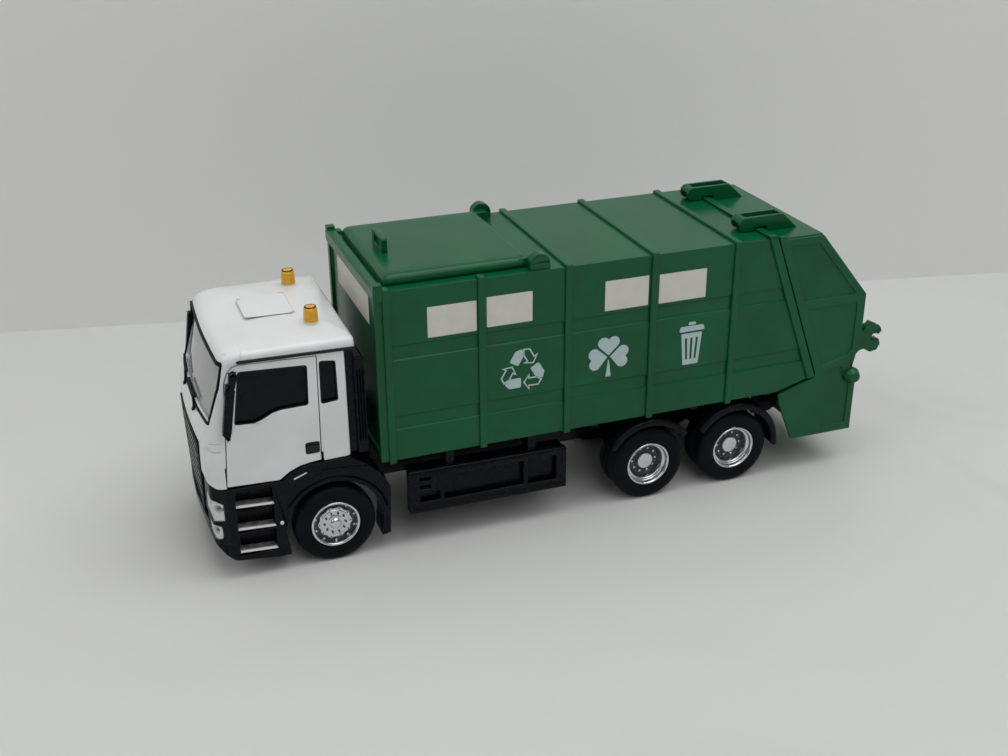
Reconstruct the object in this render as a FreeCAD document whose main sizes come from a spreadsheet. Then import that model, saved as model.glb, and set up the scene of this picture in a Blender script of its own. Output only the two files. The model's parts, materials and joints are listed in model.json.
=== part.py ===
import FreeCAD, Part
import os
import re
import Sketcher

# A 1:32 toy garbage truck: white tilt cab with opening doors, a green ribbed refuse body with
# a lid in its roof, a tailgate with hopper that swings up, a bin lifter and three axles.
# Axes: X to the truck's left, -Y forwards, +Z up. Every piece is drawn on the truck's own
# stations: Y is measured from the front axle and Z from the ground. Each piece's Placement
# then moves it so that the origin lies on the ground, midway between bumper and bin hooks.

doc = FreeCAD.newDocument("garbage_truck")
sheet = doc.addObject("Spreadsheet::Sheet", "Sizes")

# alias, value in millimetres or degrees, what it is
SIZES = [
    ("front_axle_station", -105.6, "front axle from the origin, along Y"),
    ("running_gap", 0.35, "air between pieces that move past each other"),
    # wheels and axles
    ("axle_height", 17.3, "wheel centres above the ground"),
    ("tyre_radius", 17.3, "all tyres"),
    ("middle_axle", 143.6, "second axle from the first"),
    ("rear_axle", 186.8, "third axle from the first"),
    ("tyre_outer", 38.0, "outer side wall of every tyre"),
    ("front_tyre_width", 9.4, "single front tyre"),
    ("rear_tyre_width", 8.2, "one tyre of a rear twin"),
    ("twin_gap", 1.0, "between the twin tyres"),
    ("bead_radius", 10.4, "where tyre and rim meet"),
    ("tyre_shoulder", 1.6, "rounding of the tread's edges"),
    ("axle_radius", 1.5, "steel axle pin"),
    ("bearing_play", 0.06, "radial play of axles and hinge pins"),
    # ladder frame
    ("rail_outer", 14.0, "outside of a frame rail"),
    ("rail_flange", 4.0, "width of a rail's flanges"),
    ("rail_web", 1.4, "thickness of web and flanges"),
    ("rail_bottom", 23.0, "underside of the rails"),
    ("rail_top", 31.0, "top of the rails"),
    ("rail_front", -43.0, "front end of the rails"),
    ("rail_rear", 206.0, "rear end of the rails"),
    # cab
    ("cab_half", 37.5, "half width of the cab"),
    ("cab_skin", 1.5, "thickness of cab walls and doors"),
    ("cab_bottom", 43.2, "lower edge of the white cab side"),
    ("cab_front", -51.2, "nose of the cab at its middle"),
    ("cab_corner_front", -48.2, "front face where it turns into the side"),
    ("cab_rear", 8.4, "rear edge of the cab side"),
    ("roof_rear", 12.6, "rear edge of the roof"),
    ("arch_top", 48.3, "edge between cab side and wheel arch"),
    ("gutter", 96.0, "rain gutter over the doors"),
    ("roof_top", 103.0, "highest line of the roof"),
    ("screen_base", 69.5, "lower edge of the windscreen"),
    ("screen_base_front", -48.6, "windscreen glass at its foot"),
    ("screen_top_front", -42.0, "windscreen glass at its head"),
    # refuse body
    ("body_half", 39.0, "half width over the side panels"),
    ("body_wall", 1.6, "wall thickness of body and tailgate"),
    ("body_front", 20.5, "front frame of the body"),
    ("body_bottom", 43.5, "underside of the body"),
    ("body_top", 117.6, "roof of the body"),
    ("rib_proud", 1.2, "how far ribs stand out"),
    ("rib_width", 3.1, "width of the ribs"),
    ("header_top", 120.6, "top of the front header rail"),
    ("seam_foot_y", 225.6, "foot of the slanted seam to the tailgate"),
    ("seam_foot_z", 48.2, "height of that foot"),
    ("seam_head_y", 199.9, "head of the slanted seam"),
    ("seam_gap", 0.5, "gap along the seam"),
    # roof lid
    ("lid_front", 25.0, "front edge of the lid"),
    ("lid_rear", 87.0, "rear edge of the lid"),
    ("lid_half", 33.8, "half width of the lid at its foot"),
    ("lid_top", 122.0, "top of the lid"),
    ("lid_axis_y", 90.6, "lid hinge line"),
    ("lid_axis_z", 119.9, "lid hinge line above the ground"),
    ("lug_radius", 4.4, "round hinge lugs beside the lid"),
    # tailgate
    ("gate_axis_y", 190.4, "tailgate hinge line"),
    ("gate_axis_z", 121.0, "tailgate hinge line above the ground"),
    ("housing_inner", 20.0, "inner side of a tailgate hinge housing"),
    ("housing_outer", 27.8, "outer side of a tailgate hinge housing"),
    ("housing_wall", 1.4, "wall of a tailgate hinge housing"),
    ("gate_roof_y", 222.3, "rear edge of the flat roof"),
    ("gate_rear", 248.4, "vertical rear edge"),
    ("gate_knee_z", 85.5, "upper end of the vertical rear edge"),
    ("gate_foot_z", 57.4, "lower end of the vertical rear edge"),
    ("gate_low_y", 243.6, "lower corner of the side panel"),
    ("gate_low_z", 52.6, "height of that corner"),
    ("hopper_bottom", 16.8, "underside of the hopper"),
    ("hopper_sill", 40.2, "loading sill"),
    ("lifter_axis_y", 246.6, "bin lifter shaft"),
    ("lifter_axis_z", 45.0, "bin lifter shaft above the ground"),
]
for row, (alias, value, meaning) in enumerate(SIZES, start=1):
    sheet.set("A%d" % row, meaning)
    sheet.set("B%d" % row, "%g" % value)
    sheet.setAlias("B%d" % row, alias)
doc.recompute()

ALIASES = [alias for alias, value, meaning in SIZES]
WORDS = re.compile(r"[a-z_]+[a-z0-9_]*")


def link(text):
    """The expression text with every size read from the sheet."""
    return WORDS.sub(lambda m: "Sizes." + m.group(0) if m.group(0) in ALIASES else m.group(0), str(text))


def size(text):
    """The present value of an expression in sizes, for picking edges and laying out sketches."""
    return float(sheet.evalExpression(link(text)))


def bind(thing, prop, text):
    thing.setExpression(prop, link(text))


def block(name, x_range, y_range, z_range):
    """A box between two planes on each axis."""
    box = doc.addObject("Part::Box", name)
    for prop, axis, (low, high) in (("Length", "x", x_range), ("Width", "y", y_range),
                                    ("Height", "z", z_range)):
        bind(box, prop, "(%s) - (%s)" % (high, low))
        bind(box, "Placement.Base." + axis, low)
    return box


def rod(name, radius, low, high, at_y, at_z):
    """A cylinder along X between two stations."""
    bar = doc.addObject("Part::Cylinder", name)
    bar.Placement.Rotation = FreeCAD.Rotation(FreeCAD.Vector(0, 1, 0), 90)
    bind(bar, "Radius", radius)
    bind(bar, "Height", "(%s) - (%s)" % (high, low))
    bind(bar, "Placement.Base.x", low)
    bind(bar, "Placement.Base.y", at_y)
    bind(bar, "Placement.Base.z", at_z)
    return bar


def post(name, radius, at_x, at_y, low, high, top_radius=None):
    """An upright cylinder, or a cone where a top radius is given."""
    kind = "Part::Cone" if top_radius else "Part::Cylinder"
    bar = doc.addObject(kind, name)
    bind(bar, "Radius1" if top_radius else "Radius", radius)
    if top_radius:
        bind(bar, "Radius2", top_radius)
    bind(bar, "Height", "(%s) - (%s)" % (high, low))
    bind(bar, "Placement.Base.x", at_x)
    bind(bar, "Placement.Base.y", at_y)
    bind(bar, "Placement.Base.z", low)
    return bar


def draw_outline(sketch, outline):
    """Closed straight lines in a sketch, every corner held by its two sizes."""
    corners = [FreeCAD.Vector(size(u), size(v), 0) for u, v in outline]
    count = len(corners)
    for i in range(count):
        sketch.addGeometry(Part.LineSegment(corners[i], corners[(i + 1) % count]), False)
    for i in range(count):
        sketch.addConstraint(Sketcher.Constraint("Coincident", i, 2, (i + 1) % count, 1))
    for i, (u, v) in enumerate(outline):
        for kind, text, value in (("DistanceX", u, corners[i].x), ("DistanceY", v, corners[i].y)):
            number = sketch.addConstraint(Sketcher.Constraint(kind, -1, 1, i, 1, value))
            sketch.setExpression("Constraints[%d]" % number, link(text))
    return corners


PLANES = {"side": "YZ_Plane", "plan": "XY_Plane", "front": "XZ_Plane"}


def sheet_metal(name, view, outline, low, high, rounds=()):
    """A body padded from one closed outline.

    view "side" reads the outline as (y, z) and pads along X, "plan" as (x, y) along Z and
    "front" as (x, z) along Y. rounds holds (corner numbers, radius) for edges along the pad.
    """
    body = doc.addObject("PartDesign::Body", name)
    sketch = body.newObject("Sketcher::SketchObject", name + "_sketch")
    plane = [f for f in body.Origin.OriginFeatures if f.Role == PLANES[view]][0]
    sketch.AttachmentSupport = [(plane, "")]
    sketch.MapMode = "FlatFace"
    # the front plane's normal points along -Y, so its pad starts at the far side
    start = "-(%s)" % high if view == "front" else low
    bind(sketch, "AttachmentOffset.Base.z", start)
    corners = draw_outline(sketch, outline)
    pad = body.newObject("PartDesign::Pad", name + "_pad")
    pad.Profile = sketch
    bind(pad, "Length", "(%s) - (%s)" % (high, low))
    doc.recompute()
    base = pad
    for turn, (numbers, radius) in enumerate(rounds):
        picked = [edge_at(base.Shape, view, corners[n]) for n in numbers]
        fillet = body.newObject("PartDesign::Fillet", "%s_round_%d" % (name, turn))
        fillet.Base = (base, picked)
        bind(fillet, "Radius", radius)
        doc.recompute()
        base = fillet
    return body


def edge_at(shape, view, corner):
    """The name of the edge that the pad drew out of one corner of its outline."""
    for number, edge in enumerate(shape.Edges, start=1):
        ends = [vertex.Point for vertex in edge.Vertexes]
        if len(ends) != 2:
            continue
        if view == "side":
            flat = [(p.y, p.z) for p in ends]
        elif view == "plan":
            flat = [(p.x, p.y) for p in ends]
        else:
            flat = [(p.x, p.z) for p in ends]
        if all(abs(u - corner.x) + abs(v - corner.y) < 1e-4 for u, v in flat):
            return "Edge%d" % number
    raise ValueError("no edge at that corner")


def fuse(name, things):
    join = doc.addObject("Part::MultiFuse", name)
    join.Shapes = things
    join.Refine = True
    return join


def common(name, things):
    part = doc.addObject("Part::MultiCommon", name)
    part.Shapes = things
    return part


def cut(name, base, tools):
    tool = tools[0] if len(tools) == 1 else fuse(name + "_tools", tools)
    part = doc.addObject("Part::Cut", name)
    part.Base = base
    part.Tool = tool
    part.Refine = True
    return part


def mirrored(name, thing):
    """The same piece on the truck's right side."""
    twin = doc.addObject("Part::Mirroring", name)
    twin.Source = thing
    twin.Normal = FreeCAD.Vector(1, 0, 0)
    return twin


def both_sides(name, thing):
    """The piece and its twin on the other side, in one node."""
    pair = doc.addObject("Part::Compound", name)
    pair.Links = [thing, mirrored(name + "_twin", thing)]
    return pair


def gathered(name, things):
    """Like pieces that don't touch each other, in one node."""
    group = doc.addObject("Part::Compound", name)
    group.Links = things
    return group


SUBPARTS = []


def subpart(label, thing):
    """Name a finished piece and carry it from the truck's stations to the part's frame."""
    piece = gathered(label, [thing])
    piece.Label = label
    bind(piece, "Placement.Base.y", "front_axle_station")
    SUBPARTS.append(piece)


# ---------------------------------------------------------------- ladder frame and axles

AXLES = [("front", "0"), ("middle", "middle_axle"), ("rear", "rear_axle")]

rail_hollow = block("rail_hollow", ("rail_outer - rail_flange - 1", "rail_outer - rail_web"),
                    ("rail_front - 1", "rail_rear + 1"), ("rail_bottom + rail_web", "rail_top - rail_web"))
rail_profile = sheet_metal("rail_profile", "side",
                           [("rail_front", "rail_bottom"), ("rail_rear - 5", "rail_bottom"),
                            ("rail_rear", "rail_bottom + 4"), ("rail_rear", "rail_top"),
                            ("rail_front", "rail_top")],
                           "rail_outer - rail_flange", "rail_outer")
rail = cut("rail", rail_profile, [rail_hollow])
rail_twin = mirrored("rail_twin", rail)
# station and height of each cross member between the rails
CROSS_MEMBERS = ["-36", "22", "62", "104", "124", "165", "203"]
cross_members = [block("cross_member_%d" % n, ("-rail_outer + rail_web", "rail_outer - rail_web"),
                       ("%s - 2" % at, "%s + 2" % at), ("rail_bottom + 1.2", "rail_top - 1.2"))
                 for n, at in enumerate(CROSS_MEMBERS)]
hangers = []
for axle, station in AXLES:
    hanger = sheet_metal(axle + "_hanger", "side",
                         [(station + " - 3.4", "axle_height - 3"), (station + " + 3.4", "axle_height - 3"),
                          (station + " + 7", "rail_bottom + 1"), (station + " - 7", "rail_bottom + 1")],
                         "rail_outer - rail_flange", "rail_outer", [((0, 1), "2.4")])
    hangers += [hanger, mirrored(axle + "_hanger_twin", hanger)]
bores = [rod(axle + "_bore", "axle_radius + bearing_play", "-rail_outer - 1", "rail_outer + 1", station,
             "axle_height")
         for axle, station in AXLES]
frame_solid = fuse("frame_solid", [rail, rail_twin] + cross_members + hangers)
subpart("chassis_frame", cut("chassis_frame_bored", frame_solid, bores))


def wheel_ring(name, radius, hole, low, high, station):
    """A ring about an axle's line, from one side wall to the other."""
    ring = cut(name, rod(name + "_disc", radius, low, high, station, "axle_height"),
               [rod(name + "_hole", hole, "(%s) - 1" % low, "(%s) + 1" % high, station, "axle_height")])
    return ring


def tyre(name, low, high, station):
    """A smooth tyre: two chamfered shoulders beside a flat tread."""
    body = doc.addObject("PartDesign::Body", name)
    sketch = body.newObject("Sketcher::SketchObject", name + "_section")
    plane = [f for f in body.Origin.OriginFeatures if f.Role == "XY_Plane"][0]
    sketch.AttachmentSupport = [(plane, "")]
    sketch.MapMode = "FlatFace"
    # half section: x runs along the axle, y is the radius
    section = [(low, "bead_radius"), (high, "bead_radius"),
               (high, "tyre_radius - 2.2 * tyre_shoulder"),
               ("(%s) - 0.35 * tyre_shoulder" % high, "tyre_radius - 0.7 * tyre_shoulder"),
               ("(%s) - tyre_shoulder" % high, "tyre_radius"),
               ("(%s) + tyre_shoulder" % low, "tyre_radius"),
               ("(%s) + 0.35 * tyre_shoulder" % low, "tyre_radius - 0.7 * tyre_shoulder"),
               (low, "tyre_radius - 2.2 * tyre_shoulder")]
    draw_outline(sketch, section)
    turned = body.newObject("PartDesign::Revolution", name + "_turned")
    turned.Profile = sketch
    turned.ReferenceAxis = (sketch, ["H_Axis"])
    turned.Angle = 360
    bind(body, "Placement.Base.y", station)
    bind(body, "Placement.Base.z", "axle_height")
    return body


# each axle: its tyres' low and high sides, outermost first, then its rim's
front_inner = "tyre_outer - front_tyre_width"
twin_inner = "tyre_outer - rear_tyre_width"
second_outer = "tyre_outer - rear_tyre_width - twin_gap"
second_inner = "tyre_outer - 2 * rear_tyre_width - twin_gap"
TYRES = {"front": [(front_inner, "tyre_outer")],
         "middle": [(twin_inner, "tyre_outer"), (second_inner, second_outer)],
         "rear": [(twin_inner, "tyre_outer"), (second_inner, second_outer)]}
for axle, station in AXLES:
    ring = [tyre("%s_tyre_%d" % (axle, n), low, high, station) for n, (low, high) in enumerate(TYRES[axle])]
    left = gathered(axle + "_tyres_near", ring)
    subpart(axle + "_tyre_left", left)
    subpart(axle + "_tyre_right", mirrored(axle + "_tyres_far", left))
    inner = front_inner if axle == "front" else second_inner
    barrel = wheel_ring(axle + "_barrel", "bead_radius", "bead_radius - 1", inner, "tyre_outer - 0.6",
                        station)
    if axle == "front":
        # the front disc bulges out, its hub nearly flush with the tyre
        disc = rod(axle + "_web", "bead_radius - 0.5", "tyre_outer - 4", "tyre_outer - 2.6", station,
                   "axle_height")
        bulge = doc.addObject("Part::Cone", axle + "_bulge")
        bulge.Placement.Rotation = FreeCAD.Rotation(FreeCAD.Vector(0, 1, 0), 90)
        bind(bulge, "Radius1", "bead_radius - 2.4")
        bind(bulge, "Radius2", "bead_radius - 4.4")
        bind(bulge, "Height", "1.8")
        bind(bulge, "Placement.Base.x", "tyre_outer - 2.8")
        bind(bulge, "Placement.Base.y", station)
        bind(bulge, "Placement.Base.z", "axle_height")
        cap = rod(axle + "_cap", "2.6", "tyre_outer - 1.2", "tyre_outer + 0.2", station, "axle_height")
        disc_parts = [disc, bulge, cap]
    else:
        # the rear disc lies deep in its rim, with a round cap standing out of it
        disc = rod(axle + "_web", "bead_radius - 0.5", "tyre_outer - 6.6", "tyre_outer - 5.4", station,
                   "axle_height")
        step = wheel_ring(axle + "_step", "bead_radius - 0.5", "bead_radius - 2.6",
                          "tyre_outer - 4.2", "tyre_outer - 3.0", station)
        joint = wheel_ring(axle + "_joint", "bead_radius - 0.5", "bead_radius - 2.2",
                           "tyre_outer - 6.2", "tyre_outer - 3.4", station)
        cap = rod(axle + "_cap", "3.0", "tyre_outer - 5.8", "tyre_outer - 1.6", station, "axle_height")
        disc_parts = [disc, step, joint, cap]
    hub_hole = rod(axle + "_hub_hole", "axle_radius", "0",
                   "tyre_outer - 3.2 - 2.6 * %d" % (axle != "front"),
                   station, "axle_height")
    rim = cut(axle + "_rim", fuse(axle + "_rim_solid", [barrel] + disc_parts), [hub_hole])
    subpart(axle + "_rims", both_sides(axle + "_rims_pair", rim))
    reach = "tyre_outer - 3.2 - 2.6 * %d" % (axle != "front")
    subpart(axle + "_axle_pin", rod(axle + "_pin", "axle_radius", "-(%s)" % reach, reach, station,
                                    "axle_height"))

# ---------------------------------------------------------------- subframe under the body

sill = block("sill", ("rail_outer - 3.4", "rail_outer"), ("body_front + 1", "rail_rear - 0.5"),
             ("rail_top", "body_bottom"))
# station, half width and foot of each cross bearer under the body
BEARERS = [("26", 37.4, 40.0), ("50.8", 36.0, 35.0), ("87.9", 36.0, 35.0),
           ("117", 37.4, 40.8), ("165.2", 37.4, 40.8), ("203", 37.4, 41.2)]
bearers = [block("bearer_%d" % n, ("-%g" % half, "%g" % half), ("%s - 1.8" % at, "%s + 1.8" % at),
                 ("%g" % foot, "body_bottom")) for n, (at, half, foot) in enumerate(BEARERS)]
subpart("body_subframe", fuse("body_subframe_solid", [sill, mirrored("sill_twin", sill)] + bearers))

# ---------------------------------------------------------------- cab shell and doors

# side outline of the cab, as (y, z): foot of the nose, windscreen, roof, back, edge over the wheel
CAB_SIDE = [("cab_front", "cab_bottom + 3.6"), ("cab_front", "screen_base - 7"),
            ("screen_base_front - 1.6", "screen_base"), ("screen_top_front - 0.6", "gutter + 0.6"),
            ("screen_top_front + 5", "roof_top - 1.6"), ("screen_top_front + 18", "roof_top"),
            ("roof_rear - 6", "roof_top"), ("roof_rear", "roof_top - 2.4"), ("roof_rear", "gutter - 0.4"),
            ("cab_rear", "gutter - 0.4"), ("cab_rear", "arch_top"), ("-8.6", "arch_top - 0.4"),
            ("-12.6", "arch_top - 1.1"), ("-17", "arch_top - 2.9"), ("-20.8", "cab_bottom - 0.8"),
            ("-46.6", "cab_bottom - 0.6")]
# plan of the cab, as (x, y): a bowed nose with rounded corners
CAB_PLAN = [("-cab_half", "roof_rear"), ("-cab_half", "cab_corner_front + 5"),
            ("-cab_half + 4", "cab_corner_front - 0.6"),
            ("-cab_half / 2", "cab_front + 0.7"), ("0", "cab_front"), ("cab_half / 2", "cab_front + 0.7"),
            ("cab_half - 4", "cab_corner_front - 0.6"), ("cab_half", "cab_corner_front + 5"),
            ("cab_half", "roof_rear")]
# the cab seen from the front, as (x, z): sides lean in a little and the roof's edges are round
CAB_FACE = [("-cab_half", "cab_bottom"), ("cab_half", "cab_bottom"), ("cab_half", "gutter + 1.8"),
            ("cab_half - 2.4", "roof_top - 3"), ("cab_half - 11", "roof_top - 1.3"),
            ("cab_half - 22", "roof_top"), ("-cab_half + 22", "roof_top"),
            ("-cab_half + 11", "roof_top - 1.3"), ("-cab_half + 2.4", "roof_top - 3"),
            ("-cab_half", "gutter + 1.8")]


def inset(outline, amount, middle):
    """The outline moved towards a middle point by one wall on both axes."""
    moved = []
    for (u, v) in outline:
        u_sign = "+" if size(u) < middle[0] else "-"
        v_sign = "+" if size(v) < middle[1] else "-"
        u_text = u if abs(size(u) - middle[0]) < 1e-6 else "(%s) %s %s" % (u, u_sign, amount)
        moved.append((u_text, "(%s) %s %s" % (v, v_sign, amount)))
    return moved


cab_outer = common("cab_outer", [
    sheet_metal("cab_side", "side", CAB_SIDE, "-cab_half", "cab_half", [((3, 4, 5, 6, 7), "4")]),
    sheet_metal("cab_plan", "plan", CAB_PLAN, "cab_bottom", "roof_top", [((2, 6), "5"), ((1, 7), "4")]),
    sheet_metal("cab_face", "front", CAB_FACE, "cab_front", "roof_rear",
                [((2, 9), "0.8"), ((3, 8), "2.4"), ((4, 5, 6, 7), "9")])])
# the inside: the same three outlines one skin smaller, open below
inner_side = [("cab_front + cab_skin", "cab_bottom - 2"), ("cab_front + cab_skin", "screen_base - 7"),
              ("screen_base_front", "screen_base"), ("screen_top_front + 1", "gutter - 0.4"),
              ("screen_top_front + 6", "roof_top - 3.2"), ("screen_top_front + 18", "roof_top - cab_skin"),
              ("roof_rear - 6", "roof_top - cab_skin"), ("roof_rear - cab_skin", "roof_top - 4"),
              ("roof_rear - cab_skin", "gutter + 1.2"), ("cab_rear - cab_skin", "gutter + 1.2"),
              ("cab_rear - cab_skin", "cab_bottom - 2")]
cab_inner = common("cab_inner", [
    sheet_metal("cab_side_inner", "side", inner_side, "-cab_half", "cab_half"),
    sheet_metal("cab_plan_inner", "plan", inset(CAB_PLAN, "cab_skin", (0.0, -20.0)), "cab_bottom - 2",
                "roof_top"),
    sheet_metal("cab_face_inner", "front",
                [("-cab_half + cab_skin", "cab_bottom - 2"), ("cab_half - cab_skin", "cab_bottom - 2"),
                 ("cab_half - cab_skin", "gutter"), ("cab_half - 4", "roof_top - 4.6"),
                 ("cab_half - 12", "roof_top - 2.9"), ("cab_half - 22", "roof_top - 1.6"),
                 ("-cab_half + 22", "roof_top - 1.6"), ("-cab_half + 12", "roof_top - 2.9"),
                 ("-cab_half + 4", "roof_top - 4.6"), ("-cab_half + cab_skin", "gutter")],
                "cab_front - 1", "roof_rear + 1")])
cab_skin_solid = cut("cab_skin_solid", cab_outer, [cab_inner])

# door outline in the cab side, as (y, z), front foot first
DOOR = [("-42.3", "cab_bottom + 0.2"), ("-21.4", "cab_bottom - 0.6"), ("-17", "arch_top - 2.6"),
        ("-12.6", "arch_top - 0.8"), ("-8.6", "arch_top - 0.1"), ("-3.6", "arch_top + 0.3"),
        ("-2.6", "gutter - 1.8"),
        ("-33.4", "gutter - 0.8"), ("-36", "gutter - 1.7"), ("-37.8", "gutter - 4"),
        ("-39.2", "gutter - 8.2")]
DOOR_MIDDLE = (-22.0, 70.0)
DOOR_WINDOW = [("-36.6", "70.6"), ("-28.7", "70"), ("-26", "71"), ("-21.8", "73.2"), ("-8", "74"),
               ("-7.4", "91.4"), ("-33.8", "92.6")]
QUARTER_WINDOW = [("-1.8", "73.6"), ("4.2", "74.2"), ("4.2", "91.8"), ("-1.4", "92.2")]
SCREEN_FACE = [("-cab_half + 5", "screen_base + 0.5"), ("-14", "screen_base - 1.4"),
               ("14", "screen_base - 1.4"),
               ("cab_half - 5", "screen_base + 0.5"), ("cab_half - 3.2", "gutter - 0.8"),
               ("14", "gutter - 0.2"),
               ("-14", "gutter - 0.2"), ("-cab_half + 3.2", "gutter - 0.8")]

door_hole = sheet_metal("door_hole", "side", inset(DOOR, "(0 - running_gap)", DOOR_MIDDLE),
                        "cab_half - 3", "cab_half + 2")
screen_hole = sheet_metal("screen_hole", "front", SCREEN_FACE, "cab_front - 2", "screen_top_front + 6",
                          [((0, 3, 4, 7), "2")])
quarter_hole = sheet_metal("quarter_hole", "side", QUARTER_WINDOW, "cab_half - 3", "cab_half + 2",
                           [((0, 1, 2, 3), "1")])
# the grille's place in the nose
grille_hole = sheet_metal("grille_hole", "front",
                          [("-24", "cab_bottom - 1"), ("24", "cab_bottom - 1"), ("26", "60"),
                           ("-26", "60")],
                          "cab_front - 2", "cab_front + 4", [((2, 3), "2")])
rear_window = block("rear_window", ("-16", "16"), ("cab_rear - 3", "cab_rear + 1"), ("74", "90"))
cab_holes = [door_hole, mirrored("door_hole_twin", door_hole), screen_hole, quarter_hole,
             mirrored("quarter_hole_twin", quarter_hole), grille_hole, rear_window]
subpart("cab_shell", cut("cab_shell_solid", cab_skin_solid, cab_holes))

door_prism = sheet_metal("door_prism", "side", DOOR, "cab_half - 6", "cab_half + 2")
window_hole = sheet_metal("window_hole", "side", DOOR_WINDOW, "cab_half - 6", "cab_half + 2",
                          [((0, 5, 6), "1.4")])
handle_pocket = block("handle_pocket", ("cab_half - 0.7", "cab_half + 2"), ("-10.1", "-4.2"),
                      ("51.8", "57.2"))
door = cut("door", common("door_panel", [cab_skin_solid, door_prism]), [window_hole, handle_pocket])
handle = block("handle", ("cab_half - 0.7", "cab_half + 0.2"), ("-10.1", "-4.2"), ("51.8", "57.2"))
# the pane fills the window from inside and overlaps its frame
pane_outline = inset(DOOR_WINDOW, "(0 - 0.9)", (-22.0, 80.0))
pane = sheet_metal("pane", "side", pane_outline, "cab_half - cab_skin - 0.8", "cab_half - cab_skin")
mirror_arm_low = block("mirror_arm_low", ("cab_half", "cab_half + 4"), ("-40.3", "-38.8"), ("70", "71.6"))
mirror_arm_high = block("mirror_arm_high", ("cab_half", "cab_half + 4"), ("-37.4", "-36"), ("89.8", "91.4"))
mirror_case = sheet_metal("mirror_case", "side",
                          [("-42", "68.6"), ("-39.6", "67"), ("-38.6", "69"), ("-34.6", "93.4"),
                           ("-37", "94"),
                           ("-37.6", "89.8"), ("-39.4", "89")],
                          "cab_half + 2.4", "cab_half + 6.4", [((0, 1, 4), "0.8")])
mirror_solid = fuse("mirror_solid", [mirror_arm_low, mirror_arm_high, mirror_case])
for side, flip in (("left", False), ("right", True)):
    for label, piece in (("door", door), ("door_glass", pane), ("door_handle", handle),
                         ("mirror", mirror_solid)):
        subpart("%s_%s" % (label, side), mirrored(label + "_twin", piece) if flip else piece)

# ---------------------------------------------------------------- glazing and fittings of the cab

SCREEN_GLASS = [("-cab_half + 3.4", "screen_base - 0.6"), ("-14", "screen_base - 2.4"),
                ("14", "screen_base - 2.4"),
                ("cab_half - 3.4", "screen_base - 0.6"), ("cab_half - 2.2", "gutter"),
                ("-cab_half + 2.2", "gutter")]
# the pane is a slice of the cab's own form, one skin inside it
glass_side = sheet_metal("glass_side", "side",
                         [("cab_front + cab_skin", "screen_base - 7"), ("screen_base_front", "screen_base"),
                          ("screen_top_front + 1", "gutter - 0.4"),
                          ("screen_top_front + 2.2", "gutter - 0.2"),
                          ("screen_base_front + 1.1", "screen_base"),
                          ("cab_front + cab_skin + 1", "screen_base - 7")],
                         "-cab_half + cab_skin", "cab_half - cab_skin")
glass_face = sheet_metal("glass_face", "front", SCREEN_GLASS, "cab_front", "screen_top_front + 6")
subpart("windscreen", common("windscreen_solid", [glass_side, glass_face, cab_inner]))
quarter_pane = sheet_metal("quarter_pane", "side", inset(QUARTER_WINDOW, "(0 - 0.8)", (1.0, 82.0)),
                           "cab_half - cab_skin - 0.8", "cab_half - cab_skin")
subpart("quarter_windows", both_sides("quarter_panes", quarter_pane))
subpart("rear_window_pane", block("rear_pane", ("-17", "17"),
                                  ("cab_rear - cab_skin - 0.8", "cab_rear - cab_skin"),
                                  ("73", "91")))
hatch = sheet_metal("hatch", "plan", [("-10.5", "-25.4"), ("10.5", "-25.4"), ("11.5", "-5.4"),
                                      ("-11.5", "-5.4")],
                    "roof_top - 2", "roof_top + 0.5", [((0, 1, 2, 3), "2")])
subpart("roof_hatch", cut("roof_hatch_solid", hatch, [cab_outer]))
beacon = post("beacon", "3", "22", "-1", "roof_top - 1.4", "roof_top + 6.2", "2.8")
subpart("beacons", cut("beacons_solid", both_sides("beacon_pair", beacon), [cab_outer]))
air_wall = block("air_wall", ("-cab_half + 1.5", "cab_half - 1.5"), ("cab_rear", "cab_rear + 3.6"),
                 ("arch_top", "gutter - 0.4"))
air_scoop = block("air_scoop", ("24", "cab_half"), ("cab_rear + 3.6", "cab_rear + 7.6"),
                  ("arch_top + 0.2", "92"))
subpart("rear_air_intake", fuse("rear_air_intake_solid", [air_wall, air_scoop]))

# floor, seats and dashboard: one black moulding in the real toy, here piece by piece
floor_board = block("floor_board", ("-cab_half + cab_skin + 0.7", "cab_half - cab_skin - 0.7"),
                    ("-46.8", "cab_rear"), ("arch_top", "arch_top + 1.6"))
subpart("cab_floor", common("cab_floor_solid", [floor_board, cab_inner]))
seats = []
for n, middle in enumerate(("-17", "17")):
    cushion = block("cushion_%d" % n, (middle + " - 8", middle + " + 8"), ("-18", "-2"),
                    ("arch_top + 1.6", "60"))
    backrest = sheet_metal("backrest_%d" % n, "side", [("-5", "60"), ("-1", "60"), ("1.4", "86"),
                                                       ("-1.8", "86")],
                           middle + " - 7.5", middle + " + 7.5", [((2, 3), "1.2")])
    seats.append(fuse("seat_%d" % n, [cushion, backrest]))
subpart("seats", gathered("seat_pair", seats))
dash = sheet_metal("dash", "side",
                   [("-46.8", "arch_top + 1.6"), ("-38", "arch_top + 1.6"), ("-33", "62"), ("-34", "66.6"),
                    ("cab_front", "66.6"), ("cab_front", "60.4"), ("-46.8", "60.4")],
                   "-cab_half + cab_skin + 0.6", "cab_half - cab_skin - 0.6", [((2, 3), "2")])
subpart("dashboard", common("dashboard_solid", [dash, cab_inner]))
wheel = doc.addObject("Part::Torus", "steering_ring")
wheel.Placement.Rotation = FreeCAD.Rotation(FreeCAD.Vector(1, 0, 0), 30)
bind(wheel, "Radius1", "6")
bind(wheel, "Radius2", "0.7")
bind(wheel, "Placement.Base.x", "17")
bind(wheel, "Placement.Base.y", "-27.5")
bind(wheel, "Placement.Base.z", "70")
spoke = doc.addObject("Part::Box", "steering_spoke")
spoke.Placement.Rotation = FreeCAD.Rotation(FreeCAD.Vector(1, 0, 0), 30)
bind(spoke, "Length", "12")
bind(spoke, "Width", "1.4")
bind(spoke, "Height", "1")
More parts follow.
